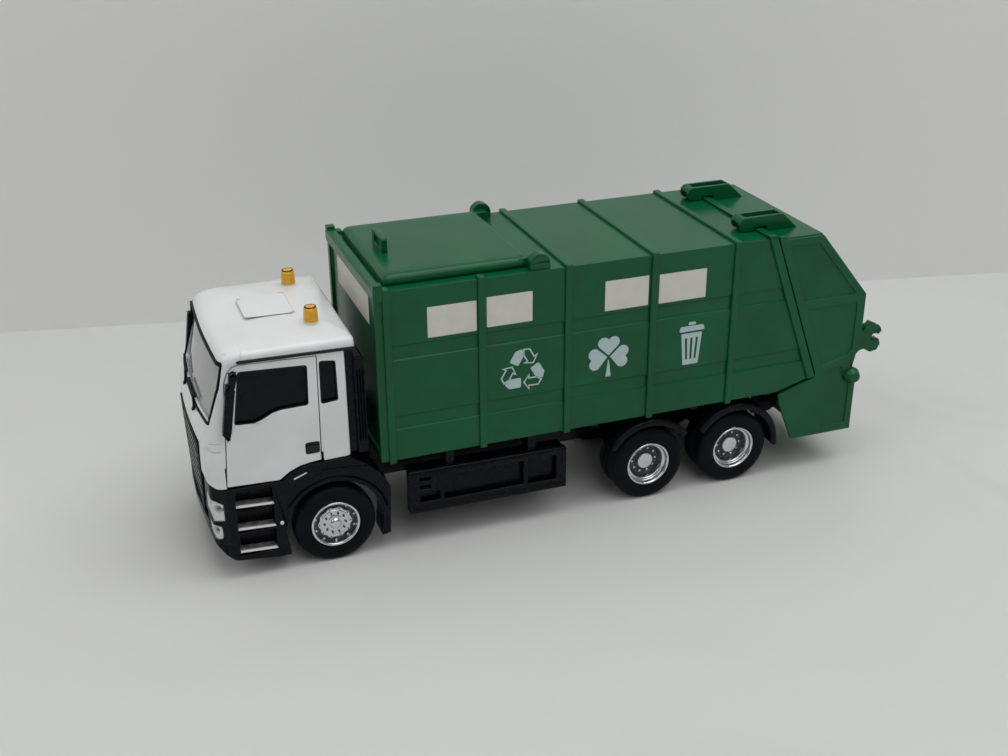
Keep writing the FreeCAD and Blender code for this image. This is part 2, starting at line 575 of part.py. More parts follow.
bind(spoke, "Placement.Base.x", "11")
bind(spoke, "Placement.Base.y", "-28")
bind(spoke, "Placement.Base.z", "69.4")
column = doc.addObject("Part::Cylinder", "steering_column")
column.Placement.Rotation = FreeCAD.Rotation(FreeCAD.Vector(1, 0, 0), 30)
bind(column, "Radius", "1.2")
bind(column, "Height", "6")
bind(column, "Placement.Base.x", "17")
bind(column, "Placement.Base.y", "-30.4 + 5.6")
bind(column, "Placement.Base.z", "64.8")
subpart("steering_wheel", fuse("steering_wheel_solid", [wheel, spoke, column]))

# ---------------------------------------------------------------- front: grille, bumper, lamps, steps

grille_form = common("grille_form", [
    sheet_metal("grille_side", "side",
                [("cab_front + 0.8", "24"), ("cab_front + 0.2", "58.6"), ("cab_front + 3.4", "58.6"),
                 ("cab_front + 3.8", "24")], "-25", "25"),
    sheet_metal("grille_face", "front",
                [("-19", "24"), ("19", "24"), ("23.4", "42"), ("23.6", "45"), ("25.4", "58.6"),
                 ("-25.4", "58.6"),
                 ("-23.6", "45"), ("-23.4", "42")], "cab_front - 1", "cab_front + 4.4")])
# heights of the slots between the grille's slats
SLOTS = [28.0, 32.4, 36.8, 41.2, 45.6, 50.0, 54.2]
slots = [block("grille_slot_%d" % n, ("-17.5", "17.5"), ("cab_front - 1", "cab_front + 1.8"),
               ("%g" % z, "%g + 2.2" % z))
         for n, z in enumerate(SLOTS)]
subpart("grille", cut("grille_solid", grille_form, slots))

BUMPER_SIDE = [("cab_front - 0.3", "21"), ("-48", "15"), ("-45.4", "11.6"), ("-41.6", "9"), ("-24.2", "7"),
               ("-24.2", "cab_bottom - 1.2"), ("-42.6", "cab_bottom - 1.2"), ("-46.4", "cab_bottom - 1"),
               ("cab_front - 0.3", "cab_bottom + 3")]
bumper_outer = common("bumper_outer", [
    sheet_metal("bumper_side", "side", BUMPER_SIDE, "-cab_half - 0.6", "cab_half + 0.6"),
    sheet_metal("bumper_plan", "plan",
                [("-cab_half - 0.6", "-24"), ("-cab_half - 0.6", "cab_corner_front + 5"),
                 ("-cab_half + 3.6", "cab_corner_front - 1"), ("-cab_half / 2", "cab_front + 0.5"),
                 ("0", "cab_front - 0.3"),
                 ("cab_half / 2", "cab_front + 0.5"), ("cab_half - 3.6", "cab_corner_front - 1"),
                 ("cab_half + 0.6", "cab_corner_front + 5"), ("cab_half + 0.6", "-24")],
                "5", "cab_bottom + 4", [((1, 2, 6, 7), "3")])])
bumper_hollow = block("bumper_hollow", ("-28", "28"), ("cab_front + 4.6", "-20"), ("5", "cab_bottom + 5"))
grille_bay = block("grille_bay", ("-26", "26"), ("cab_front - 2", "cab_front + 6"),
                   ("23.6", "cab_bottom + 5"))
# foot of each step well in the bumper's side, front to back
STEP_WELLS = [("11.4", "21"), ("22.2", "32"), ("33", "40")]
wells = []
for n, (foot, head) in enumerate(STEP_WELLS):
    well = sheet_metal("step_well_%d" % n, "side", [("-39.4", foot), ("-25.8", foot), ("-25.8", head),
                                                    ("-38.6", head)],
                       "cab_half - 5", "cab_half + 2", [((2, 3), "0.8")])
    wells += [well, mirrored("step_well_twin_%d" % n, well)]
lamp_bay = sheet_metal("lamp_bay", "front", [("23.4", "29"), ("33", "26.6"), ("38.6", "28"),
                                             ("38.6", "34.4"), ("35", "36.4"),
                                             ("24.4", "39.6")], "cab_front - 2", "cab_front + 6")
fog_bay = sheet_metal("fog_bay", "front", [("26", "19.4"), ("35", "18.4"), ("37", "22"), ("36", "25"),
                                           ("25.4", "26.4")],
                      "cab_front - 2", "cab_front + 4")
bumper_tools = [bumper_hollow, grille_bay, lamp_bay, mirrored("lamp_bay_twin", lamp_bay), fog_bay,
                mirrored("fog_bay_twin", fog_bay)] + wells
subpart("bumper", cut("bumper_solid", bumper_outer, bumper_tools))
lamp = common("lamp", [bumper_outer, sheet_metal("lamp_face", "front",
                                                 [("23.6", "29.2"), ("33", "26.8"), ("38.4", "28.2"),
                                                  ("38.4", "34.2"),
                                                  ("35", "36.2"), ("24.6", "39.3")], "cab_front",
                                                 "cab_front + 5.8")])
subpart("headlamps", both_sides("headlamp_pair", lamp))
fog = common("fog", [bumper_outer, sheet_metal("fog_face", "front",
                                               [("26.2", "19.6"), ("34.9", "18.6"), ("36.8", "22"),
                                                ("35.8", "24.8"),
                                                ("25.6", "26.2")], "cab_front", "cab_front + 3.8")])
subpart("fog_lamps", both_sides("fog_lamp_pair", fog))
step_edges = [block("step_edge_%d" % n, ("cab_half - 4", "cab_half + 0.8"), ("-39", "-26.2"),
                    (foot, foot + " + 1"))
              for n, (foot, head) in enumerate(STEP_WELLS)]
subpart("step_treads", both_sides("step_tread_pairs", gathered("step_treads_near", step_edges)))
wipers = []
for n, (foot, reach) in enumerate((("-14", 13.0), ("12", 13.0))):
    arm = sheet_metal("wiper_%d" % n, "front", [(foot, "screen_base - 3.4"),
                                                ("(%s) + 1" % foot, "screen_base - 3.4"),
                                                ("(%s) + %g" % (foot, reach), "screen_base + 2.6"),
                                                ("(%s) + %g" % (foot, reach - 1), "screen_base + 3.2")],
                      "cab_front", "cab_front + 2.6")
    wipers.append(cut("wiper_fitted_%d" % n, arm, [cab_outer]))
subpart("wipers", gathered("wiper_pair", wipers))

# ---------------------------------------------------------------- wings over the wheels

wing_outline = [("-23.8", "7.2"), ("-23.8", "cab_bottom - 1.2"), ("-20.6", "cab_bottom - 1.2"),
                ("-17", "arch_top - 3.2"),
                ("-12.6", "arch_top - 1.5"), ("-8.6", "arch_top - 0.8"), ("7.4", "arch_top - 0.4"),
                ("13.6", "44"),
                ("19.6", "38.4"), ("24.4", "30.4"), ("23", "8.4"), ("12", "7.2")]
wing = cut("wing", sheet_metal("wing_block", "side", wing_outline, "26.6", "cab_half + 0.9"),
           [rod("wing_hollow", "20.4", "25", "cab_half + 3", "0", "axle_height"),
            block("wing_below", ("25", "cab_half + 3"), ("-18", "18.6"), ("0", "axle_height"))])
subpart("front_wings", both_sides("front_wing_pair", wing))


def arch(name, station, front_cut, rear_cut):
    """A curved mudguard over a rear twin, with a deeper outer lip, cut off by a plane at each end."""
    ring = fuse(name + "_rings", [
        wheel_ring(name + "_ring", "22.6", "20.8", "tyre_outer - 17.4", "body_half", station),
        wheel_ring(name + "_lip", "22.6", "19.4", "body_half - 1.6", "body_half", station)])
    below = sheet_metal(name + "_below", "side", [front_cut[0], front_cut[1], (station, "axle_height"),
                                                  rear_cut[1], rear_cut[0]],
                        "tyre_outer - 19", "body_half + 1")
    return cut(name, ring, [below])


middle_arch = arch("middle_arch", "middle_axle", [("middle_axle - 26", "-8"), ("middle_axle - 26", "33")],
                   [("middle_axle + 26", "-8"), ("middle_axle + 26", "35")])
rear_arch = arch("rear_arch", "rear_axle", [("rear_axle - 26", "-8"), ("rear_axle - 26", "35")],
                 [("rear_axle + 26", "-8"), ("rear_axle + 26", "15.6")])
rear_flap = block("rear_flap", ("tyre_outer - 17.4", "body_half"), ("rear_axle + 20.6", "rear_axle + 22"),
                  ("15.4", "18"))
# a short post on each crown carries the mudguards under the body's sills
wing_posts = [block(name + "_wing_post", ("22.4", "26"), (station + " - 3", station + " + 3"),
                    ("axle_height + 21.6", "body_bottom")) for name, station in AXLES[1:]]
rear_wings = fuse("rear_wings_near", [middle_arch, rear_arch, rear_flap] + wing_posts)
subpart("rear_wings", both_sides("rear_wing_pairs", rear_wings))

# ---------------------------------------------------------------- side guards between the axles

GUARD_FRAME = [("31.7", "15.2"), ("103.3", "14.6"), ("103.3", "34.2"), ("31.7", "35.2")]
# the openings in a guard, as (front, rear, foot, head)
GUARD_WINDOWS = [(36.6, 45.4, 20.2, 24.6), (47.2, 83.2, 19.8, 31.2), (85.4, 98.4, 19.4, 31.0)]
GUARD_SLOTS = [(36.4, 41.4, 26.4, 28.2), (36.4, 41.4, 30.2, 32.0)]
guard_plate = sheet_metal("guard_plate", "side", GUARD_FRAME, "body_half - 10", "body_half - 0.5",
                          [((0, 1, 2, 3), "0.8")])
guard_back = block("guard_back", ("body_half - 11", "body_half - 2.1"), ("33.2", "101.8"), ("16.8", "33"))
guard_windows = [block("guard_window_%d" % n, ("body_half - 12", "body_half + 1"),
                       ("%g" % front, "%g" % rear),
                       ("%g" % foot, "%g" % head))
                 for n, (front, rear, foot, head) in enumerate(GUARD_WINDOWS + GUARD_SLOTS)]
guard_shell = cut("guard_shell", guard_plate, [guard_back] + guard_windows)
# a closed panel stands behind the windows
guard_panel = block("guard_panel", ("body_half - 10", "body_half - 8.4"), ("32.4", "102.6"), ("16.4", "33.6"))
guard_legs = [block("guard_leg_%d" % n, ("body_half - 10", "body_half - 7.4"),
                    (at + " - 1.8", at + " + 1.8"),
                   ("33.2", "35"))
              for n, at in enumerate(("50.8", "87.9"))]
guard = fuse("guard", [guard_shell, guard_panel] + guard_legs)
subpart("side_guard_left", guard)
subpart("side_guard_right", mirrored("side_guard_far", guard))

# ---------------------------------------------------------------- refuse body

# y of the slanted seam at height z, shifted by an amount
SEAM_SLOPE = "(seam_foot_y - seam_head_y) / (body_top - seam_foot_z)"


def seam(height, shift="0"):
    return "seam_foot_y - ((%s) - seam_foot_z) * %s + (%s)" % (height, SEAM_SLOPE, shift)


BODY_SIDE = [("body_front", "body_bottom"), ("206", "body_bottom"), (seam("seam_foot_z"), "seam_foot_z"),
             (seam("body_top"), "body_top"), ("body_front", "body_top")]
body_block = sheet_metal("body_block", "side", BODY_SIDE, "-body_half", "body_half")
inside = [("body_front + 1.2 + body_wall", "body_bottom + body_wall"), ("205.6", "body_bottom + body_wall"),
          ("235", "body_bottom + 10"), ("235", "body_top - body_wall"),
          ("body_front + 1.2 + body_wall", "body_top - body_wall")]
body_inside = sheet_metal("body_inside", "side", inside, "-body_half + body_wall", "body_half - body_wall")
front_recess = block("front_recess", ("-body_half + 3.4", "body_half - 3.4"),
                     ("body_front - 1", "body_front + 1.2"),
                     ("body_bottom + 3", "body_top - 4"))
lid_opening = block("lid_opening", ("-lid_half + 3", "lid_half - 3"), ("lid_front + 3", "lid_rear - 3"),
                    ("body_top - 4", "body_top + 2"))
body_shell = cut("body_shell", body_block, [body_inside, front_recess, lid_opening])
# shallow grooves along each side panel, as their upper edges
GROOVES = ["93.6", "62.6"]
grooves = []
for n, head in enumerate(GROOVES):
    groove = block("groove_%d" % n, ("body_half - 0.5", "body_half + 1"),
                   ("body_front + 6.6", "seam_head_y"),
                   (head + " - 6", head))
    grooves += [groove, mirrored("groove_twin_%d" % n, groove)]
body_grooved = cut("body_grooved", body_shell, grooves)
# ribs up the sides: front edge of each, and whether it runs on over the roof
RIBS = [("23.8", False), ("63.2", False), ("101.1", True), ("140.1", True), ("179.3", True)]
ribs = []
for n, (front, over_roof) in enumerate(RIBS):
    head = "body_top + rib_proud" if over_roof else "body_top"
    rib = block("rib_%d" % n, ("body_half - 0.4", "body_half + rib_proud"), (front, front + " + rib_width"),
                ("body_bottom - 0.8", head))
    ribs += [rib, mirrored("rib_twin_%d" % n, rib)]
    if over_roof:
        ribs.append(block("roof_rib_%d" % n, ("-body_half", "body_half"), (front, front + " + rib_width"),
                          ("body_top - 0.4", head)))
header = sheet_metal("header", "side", [("body_front - 0.4", "114.2"), ("body_front + 3.2", "114.2"),
                                        ("body_front + 3.2", "header_top"),
                                        ("body_front + 0.6", "header_top"),
                                        ("body_front - 0.4", "header_top - 1")], "-body_half - 1",
                     "body_half + 1")
flange_strip = sheet_metal("flange_strip", "side",
                           [(seam("seam_foot_z", "-4"), "seam_foot_z - 0.8"),
                            (seam("seam_foot_z"), "seam_foot_z"),
                            (seam("body_top + rib_proud"), "body_top + rib_proud"),
                            (seam("body_top + rib_proud", "-4"), "body_top + rib_proud")],
                           "body_half - 0.4", "body_half + rib_proud")
flange_roof = sheet_metal("flange_roof", "side",
                          [(seam("body_top", "-4"), "body_top - 0.4"), (seam("body_top"), "body_top - 0.4"),
                           (seam("body_top + rib_proud"), "body_top + rib_proud"),
                           (seam("body_top + rib_proud", "-4"), "body_top + rib_proud")], "-body_half",
                          "body_half")
# round lugs on the roof's edges that hold the lid's hinge pins
lid_knuckles = [cut("lid_knuckle_%d" % n,
                    fuse("lid_knuckle_solid_%d" % n,
                         [rod("lid_knuckle_eye_%d" % n, "lug_radius", low, high, "lid_axis_y", "lid_axis_z"),
                          block("lid_knuckle_foot_%d" % n, (low, high),
                                ("lid_axis_y - lug_radius", "lid_axis_y + lug_radius"),
                                ("body_top - 0.4", "lid_axis_z"))]),
                    [rod("lid_knuckle_bore_%d" % n, "1 + bearing_play", "(%s) - 1" % low, "(%s) + 1" % high,
                         "lid_axis_y", "lid_axis_z"),
                     block("lid_knuckle_base_%d" % n, ("(%s) - 1" % low, "(%s) + 1" % high),
                           ("lid_axis_y - 6", "lid_axis_y + 6"), ("body_top - 4", "body_top - 0.6"))])
                for n, (low, high) in enumerate((("-38", "-33.4"), ("33.4", "38")))]
# knuckles on the roof, inside the tailgate's hinge housings
gate_knuckles = [cut("gate_knuckle_%d" % n,
                     fuse("gate_knuckle_solid_%d" % n,
                          [rod("gate_knuckle_eye_%d" % n, "1.8", low, high, "gate_axis_y", "gate_axis_z"),
                           block("gate_knuckle_foot_%d" % n, (low, high),
                                 ("gate_axis_y - 0.4", "gate_axis_y + 1.8"),
                                 ("body_top - 0.4", "gate_axis_z"))]),
                     [rod("gate_knuckle_bore_%d" % n, "1 + bearing_play", "(%s) - 1" % low,
                          "(%s) + 1" % high,
                          "gate_axis_y", "gate_axis_z")])
                 for n, (low, high) in enumerate((("-25.9", "-21.9"), ("21.9", "25.9")))]
subpart("refuse_body", fuse("refuse_body_solid", [body_grooved, header, flange_strip,
                                                  mirrored("flange_strip_twin", flange_strip),
                                                  flange_roof] + ribs + lid_knuckles + gate_knuckles))

# ---------------------------------------------------------------- roof lid

lid_pan = sheet_metal("lid_pan", "front",
                      [("-lid_half", "body_top + 0.4"), ("lid_half", "body_top + 0.4"),
                       ("lid_half", "body_top + 1.4"),
                       ("lid_half - 3", "lid_top"), ("-lid_half + 3", "lid_top"),
                       ("-lid_half", "body_top + 1.4")],
                      "lid_front", "lid_rear")
lid_under = block("lid_under", ("-lid_half + 1.6", "lid_half - 1.6"), ("lid_front + 1.6", "lid_rear - 1.6"),
                  ("body_top - 1", "body_top + 2.2"))
# ears at the lid's rear corners reach back to the hinge line and carry its pins
lid_ears = []
for n, (low, high) in enumerate((("-33", "-29"), ("29", "33"))):
    lid_ears += [rod("lid_ear_eye_%d" % n, "1.9", low, high, "lid_axis_y", "lid_axis_z"),
                 block("lid_ear_arm_%d" % n, (low, high), ("lid_rear - 3", "lid_axis_y"),
                       ("lid_axis_z - 1", "lid_axis_z + 1.4"))]
lid_pins = [rod("lid_pin_%d" % n, "1", low, high, "lid_axis_y", "lid_axis_z")
            for n, (low, high) in enumerate((("-37.4", "-31"), ("31", "37.4")))]
# the corners stand clear of the lugs
lid_notches = [block("lid_notch_%d" % n, (low, high), ("lid_axis_y - lug_radius - 0.4", "lid_rear + 1"),
                     ("body_top", "lid_top + 1"))
               for n, (low, high) in enumerate((("-lid_half - 1", "-33"), ("33", "lid_half + 1")))]
GRIP_SIDE = [("32.8", "lid_top - 0.4"), ("35.6", "lid_top - 0.4"), ("35.4", "lid_top + 6.2"),
             ("33", "lid_top + 6.2")]
grip_tab = sheet_metal("lid_grip_tab", "side", GRIP_SIDE, "-7.5", "7.5", [((2, 3), "0.9")])
grip_hole = block("grip_hole", ("-4.6", "4.6"), ("32", "37"), ("lid_top + 1.3", "lid_top + 4.6"))
lid_grip = cut("lid_grip", grip_tab, [grip_hole])
subpart("roof_lid", fuse("roof_lid_solid", [cut("lid_tray", lid_pan, [lid_under] + lid_notches), lid_grip]
                         + lid_ears + lid_pins))

# ---------------------------------------------------------------- tailgate and hopper

GATE_SIDE = [(seam("seam_foot_z", "seam_gap"), "seam_foot_z + 0.4"), ("gate_low_y", "gate_low_z"),
             ("gate_rear", "gate_foot_z"), ("gate_rear", "gate_knee_z"), ("gate_roof_y", "body_top - 0.4"),
             (seam("body_top - 0.4", "seam_gap"), "body_top - 0.4")]
gate_block = sheet_metal("gate_block", "side", GATE_SIDE, "-body_half", "body_half")
gate_inside = sheet_metal("gate_inside", "side",
                          [("190", "40"), ("252", "40"), ("252", "gate_knee_z - 2"),
                           ("gate_rear - 3", "gate_knee_z - 0.4"),
                           ("gate_roof_y - 0.8", "body_top - 0.4 - body_wall"),
                           ("190", "body_top - 0.4 - body_wall")],
                          "-body_half + body_wall", "body_half - body_wall")
gate_shell = cut("gate_shell", gate_block, [gate_inside])
# raised border bars on each side panel, as closed outlines in (y, z)
BORDERS = [
    [(seam("seam_foot_z", "seam_gap"), "seam_foot_z + 0.4"),
     (seam("seam_foot_z", "seam_gap + 4"), "seam_foot_z + 1.4"),
     (seam("body_top + 0.8", "seam_gap + 4"), "body_top + 0.8"),
     (seam("body_top + 0.8", "seam_gap"), "body_top + 0.8")],
    [("gate_roof_y - 1.6", "body_top - 4"), ("gate_roof_y", "body_top - 0.4"), ("gate_rear", "gate_knee_z"),
     ("gate_rear - 4", "gate_knee_z - 0.4")],
    [("gate_rear - 4", "gate_foot_z"), ("gate_rear", "gate_foot_z"), ("gate_rear", "gate_knee_z"),
     ("gate_rear - 4", "gate_knee_z")],
    [("214", "gate_knee_z - 3.4"), ("gate_rear - 1", "gate_knee_z - 3.4"),
     ("gate_rear - 1", "gate_knee_z + 0.4"),
     ("213", "gate_knee_z + 0.4")],
    [("226", "seam_foot_z + 0.6"), ("gate_low_y", "gate_low_z"), ("gate_rear", "gate_foot_z"),
     ("gate_rear - 3", "gate_foot_z"), ("gate_low_y - 2", "gate_low_z + 3.4"),
     ("224.6", "gate_low_z + 3.2")],
    [(seam("body_top - 4", "seam_gap + 1"), "body_top - 4"), ("gate_roof_y - 0.4", "body_top - 4"),
     ("gate_roof_y", "body_top - 0.4"), (seam("body_top - 0.4", "seam_gap + 1"), "body_top - 0.4")],
]
borders = []
for n, outline in enumerate(BORDERS):
    bar = sheet_metal("border_%d" % n, "side", outline, "body_half - 0.4", "body_half + 0.9")
    borders += [bar, mirrored("border_twin_%d" % n, bar)]
mouth_beam = block("mouth_beam", ("-body_half + 0.5", "body_half - 0.5"), ("gate_rear - 4", "gate_rear"),
                   ("gate_knee_z - 5.6", "gate_knee_z - 0.6"))
subpart("tailgate", fuse("tailgate_solid", [gate_shell, mouth_beam] + borders))

HOPPER_SIDE = [("207.6", "body_bottom - 2.4"), ("208.2", "37"), ("216.6", "hopper_bottom + 0.2"),
               ("gate_rear + 0.1", "hopper_bottom"), ("gate_rear + 0.1", "hopper_sill"),
               ("gate_low_y", "gate_low_z"),
               (seam("seam_foot_z", "seam_gap"), "seam_foot_z + 0.4"), ("225.9", "seam_foot_z - 1"),
               ("222.8", "seam_foot_z - 2")]
hopper_block = sheet_metal("hopper_block", "side", HOPPER_SIDE, "-body_half - 0.2", "body_half + 0.2")
hopper_inside = sheet_metal("hopper_inside", "side",
                            [("226.4", "43.4"), ("228", "hopper_bottom + 2"),
                             ("gate_rear - 3", "hopper_bottom + 1.8"),
                             ("gate_rear - 1.6", "hopper_bottom + 6"), ("gate_rear - 1.6", "hopper_sill"),
                             ("252", "hopper_sill"), ("252", "60"), ("226", "60")],
                            "-body_half + body_wall", "body_half - body_wall", [((1, 2), "5")])
# the side plates reach forward of the trough's front wall
hopper_nose = sheet_metal("hopper_nose", "side",
                          [("200", "10"), ("226.4", "10"), ("224.6", "60"), ("200", "60")],
                          "-body_half + body_wall", "body_half - body_wall")
hopper_panel = sheet_metal("hopper_panel", "side", [("gate_rear - 3.4", "20.6"), ("gate_rear - 3.2", "40"),
                                                    ("231", "44.6"),
                                                    ("232.4", "20.2")], "body_half - 0.2", "body_half + 1")
# an ear on each side carries the end of the bin lifter's shaft
ear = rod("hopper_ear", "3.4", "body_half - body_wall", "body_half + 0.2", "lifter_axis_y", "lifter_axis_z")
ear_bore = rod("hopper_ear_bore", "1.1 + bearing_play", "-body_half - 1", "body_half + 1",
               "lifter_axis_y", "lifter_axis_z")
hopper_shell = cut("hopper_shell", hopper_block,
                   [hopper_inside, hopper_nose, hopper_panel, mirrored("hopper_panel_twin", hopper_panel)])
hopper_eared = fuse("hopper_eared", [hopper_shell, ear, mirrored("hopper_ear_twin", ear)])
subpart("hopper", cut("hopper_solid", hopper_eared, [ear_bore]))
packer = sheet_metal("packer", "side", [("225.6", "50.6"), ("228", "50.6"), ("229.4", "66"),
                                        ("238.4", "82"),
                                        ("236", "82"), ("227.2", "66.6")],
                     "-body_half + body_wall", "body_half - body_wall")
subpart("packer_plate", packer)

# hinge housings on the tailgate's roof: channels open above, with round front ends about the
# hinge line and a bent cap over their noses
HOUSING_SIDE = [("gate_axis_y", "gate_axis_z - 3"), ("194.9", "gate_axis_z - 3"), ("194.9", "body_top + 1.9"),
                ("201", "body_top + 1.9"), ("201", "body_top - 0.4"), ("216.4", "body_top - 0.4"),
                ("209", "gate_axis_z + 3.2"), ("gate_axis_y", "gate_axis_z + 3.2")]
CAP_SIDE = [("gate_axis_y - 3", "gate_axis_z + 0.6"), ("gate_axis_y - 2.4", "gate_axis_z + 2.2"),
            ("gate_axis_y", "gate_axis_z + 3.2"), ("gate_axis_y + 0.6", "gate_axis_z + 2.3"),
            ("gate_axis_y - 1.6", "gate_axis_z + 1.6"), ("gate_axis_y - 2.2", "gate_axis_z + 0.6")]
housings = []
for n, sign in enumerate(("-", "")):
    low, high = ("-housing_outer", "-housing_inner") if sign else ("housing_inner", "housing_outer")
    body = fuse("housing_solid_%d" % n,
                [sheet_metal("housing_block_%d" % n, "side", HOUSING_SIDE, low, high),
                 rod("housing_nose_%d" % n, "3", low, high, "gate_axis_y", "gate_axis_z")])
    channel = block("housing_channel_%d" % n, (low + " + housing_wall", high + " - housing_wall"),
                    ("gate_axis_y - 4", "208.2"), ("body_top + 2.4", "gate_axis_z + 4"))
    mouth = block("housing_mouth_%d" % n, (low + " + housing_wall", high + " - housing_wall"),
                  ("gate_axis_y - 4", "gate_axis_y + 3"), ("body_top", "gate_axis_z + 4"))
    housings += [cut("housing_shell_%d" % n, body, [channel, mouth]),
                 sheet_metal("housing_cap_%d" % n, "side", CAP_SIDE, low, high),
                 rod("gate_pin_%d" % n, "1", low, high, "gate_axis_y", "gate_axis_z")]
subpart("tailgate_hinge", fuse("tailgate_hinge_solid", housings))
boss = doc.addObject("Part::Cone", "boss_cone")
boss.Placement.Rotation = FreeCAD.Rotation(FreeCAD.Vector(0, 1, 0), 90)
bind(boss, "Radius1", "3.8")
bind(boss, "Radius2", "2.3")
bind(boss, "Height", "2.8")
bind(boss, "Placement.Base.x", "body_half + 0.2")
bind(boss, "Placement.Base.y", "lifter_axis_y - 0.6")
bind(boss, "Placement.Base.z", "lifter_axis_z")
subpart("lifter_bosses", both_sides("boss_pair", boss))

# ---------------------------------------------------------------- bin lifter

HOOK = [("lifter_axis_y - 1.6", "lifter_axis_z - 1"), ("lifter_axis_y + 1.6", "lifter_axis_z - 1"),
        ("250.4", "54.6"),
        ("254", "55.4"), ("257.6", "53.2"), ("261.4", "53.8"), ("262.6", "57"), ("261.4", "59.6"),
        ("258.4", "60.4"),
        ("257.6", "59"), ("258", "62.6"), ("261.6", "61.8"), ("262.8", "63.6"), ("261.4", "66"),
        ("256.4", "68.8"),
        ("253.4", "66.6"), ("252.4", "64.4"), ("247.6", "63.6")]
hooks = []
for n, (low, high) in enumerate((("-35.6", "-32.6"), ("32.6", "35.6"))):
    plate = sheet_metal("hook_plate_%d" % n, "side", HOOK, low, high)
    eye = rod("hook_eye_%d" % n, "2.6", low, high, "lifter_axis_y", "lifter_axis_z")
    hooks += [plate, eye]
shaft_bar = rod("lifter_bar", "2", "-33", "33", "lifter_axis_y", "lifter_axis_z")
comb = block("lifter_comb", ("-33", "33"), ("248.2", "249.6"), ("54.8", "61"))
shaft_ends = rod("shaft_ends", "1.1", "-38", "38", "lifter_axis_y", "lifter_axis_z")
subpart("bin_lifter", fuse("bin_lifter_solid", hooks + [shaft_bar, shaft_ends, comb]))

# ---------------------------------------------------------------- rear lamps

tail_lamp = block("tail_lamp", ("24", "35"), ("gate_rear + 0.1", "gate_rear + 1.1"), ("21", "25"))
subpart("tail_lamps", both_sides("tail_lamp_pair", tail_lamp))

# ---------------------------------------------------------------- checks and files

doc.recompute()
for thing in doc.Objects:
    if "Invalid" in thing.State or "Error" in thing.State:
        raise RuntimeError("%s (%s) failed: %s" % (thing.Name, thing.Label, thing.State))
for piece in SUBPARTS:
    if piece.Shape.isNull() or not piece.Shape.isValid():
        raise RuntimeError("%s has no valid shape" % piece.Label)
os.makedirs("parts", exist_ok=True)
for piece in SUBPARTS:
    piece.Shape.exportStep("parts/%s.step" % piece.Label)
    box = piece.Shape.BoundBox
    print("%-22s solids %d  volume %8.0f  x %6.1f %6.1f  y %6.1f %6.1f  z %6.1f %6.1f" % (
        piece.Label, len(piece.Shape.Solids), piece.Shape.Volume, box.XMin, box.XMax, box.YMin, box.YMax,
        box.ZMin, box.ZMax))
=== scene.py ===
import bmesh
import bpy
import json
import math
from mathutils import Matrix, Vector

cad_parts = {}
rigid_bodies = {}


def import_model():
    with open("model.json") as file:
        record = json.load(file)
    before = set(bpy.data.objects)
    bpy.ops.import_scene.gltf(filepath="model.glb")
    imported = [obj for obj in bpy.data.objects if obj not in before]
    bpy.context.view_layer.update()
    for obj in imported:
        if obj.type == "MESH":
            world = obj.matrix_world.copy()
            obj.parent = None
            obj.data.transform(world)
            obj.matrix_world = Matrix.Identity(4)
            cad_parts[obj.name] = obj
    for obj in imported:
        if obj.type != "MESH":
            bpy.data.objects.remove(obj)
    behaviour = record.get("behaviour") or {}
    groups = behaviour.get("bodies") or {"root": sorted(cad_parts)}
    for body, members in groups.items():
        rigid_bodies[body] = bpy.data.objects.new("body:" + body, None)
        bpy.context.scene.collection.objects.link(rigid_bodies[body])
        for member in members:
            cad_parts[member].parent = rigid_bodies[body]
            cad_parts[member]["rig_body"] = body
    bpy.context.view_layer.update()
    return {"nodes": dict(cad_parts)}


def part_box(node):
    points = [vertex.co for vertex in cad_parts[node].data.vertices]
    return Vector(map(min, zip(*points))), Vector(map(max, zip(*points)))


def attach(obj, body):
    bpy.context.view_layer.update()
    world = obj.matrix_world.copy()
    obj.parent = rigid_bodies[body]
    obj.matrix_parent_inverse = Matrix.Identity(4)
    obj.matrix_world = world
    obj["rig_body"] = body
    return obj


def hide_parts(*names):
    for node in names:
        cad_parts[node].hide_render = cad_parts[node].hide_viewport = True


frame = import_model()

# ---- Frame rails, cross members and sills -------------------------------------------------
# The toy's base is one black ABS moulding: two channel rails, cross members, axle hangers and
# the sills that carry the body. It comes out of the mould satin and is only broken at its edges.
MM = 0.001
pin_low, pin_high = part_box("front_axle_pin")
STATION = (pin_low.y + pin_high.y) / 2


def at(x, y, z):
    """A point in millimetres: y from the front axle, z from the ground."""
    return Vector((x * MM, STATION + y * MM, z * MM))


def linear(hex_colour):
    """An sRGB hex colour as the linear colour that a shader takes."""
    parts = [int(hex_colour[i:i + 2], 16) / 255 for i in (1, 3, 5)]
    return tuple(c / 12.92 if c <= 0.04045 else ((c + 0.055) / 1.055) ** 2.4 for c in parts) + (1.0,)


def add(tree, kind, sockets=(), **settings):
    """Adds a node, gives it its settings, and sets its sockets or links them."""
    node = tree.nodes.new(kind)
    for setting, value in settings.items():
        setattr(node, setting, value)
    for socket, value in dict(sockets).items():
        if isinstance(value, bpy.types.NodeSocket):
            tree.links.new(value, node.inputs[socket])
        else:
            node.inputs[socket].default_value = value
    return node


def blank_material(title):
    """A material for one finish: its tree holds only the place on the piece in metres."""
    material = bpy.data.materials.new(title)
    material.use_nodes = True
    tree = material.node_tree
    tree.nodes.clear()
    return material, tree, add(tree, "ShaderNodeTexCoord").outputs["Object"]


def settle(piece):
    """Makes what the modifiers give into the piece's own mesh."""
    bpy.context.view_layer.update()
    graph = bpy.context.evaluated_depsgraph_get()
    mesh = bpy.data.meshes.new_from_object(piece.evaluated_get(graph), depsgraph=graph)
    piece.modifiers.clear()
    piece.data = mesh
    return piece


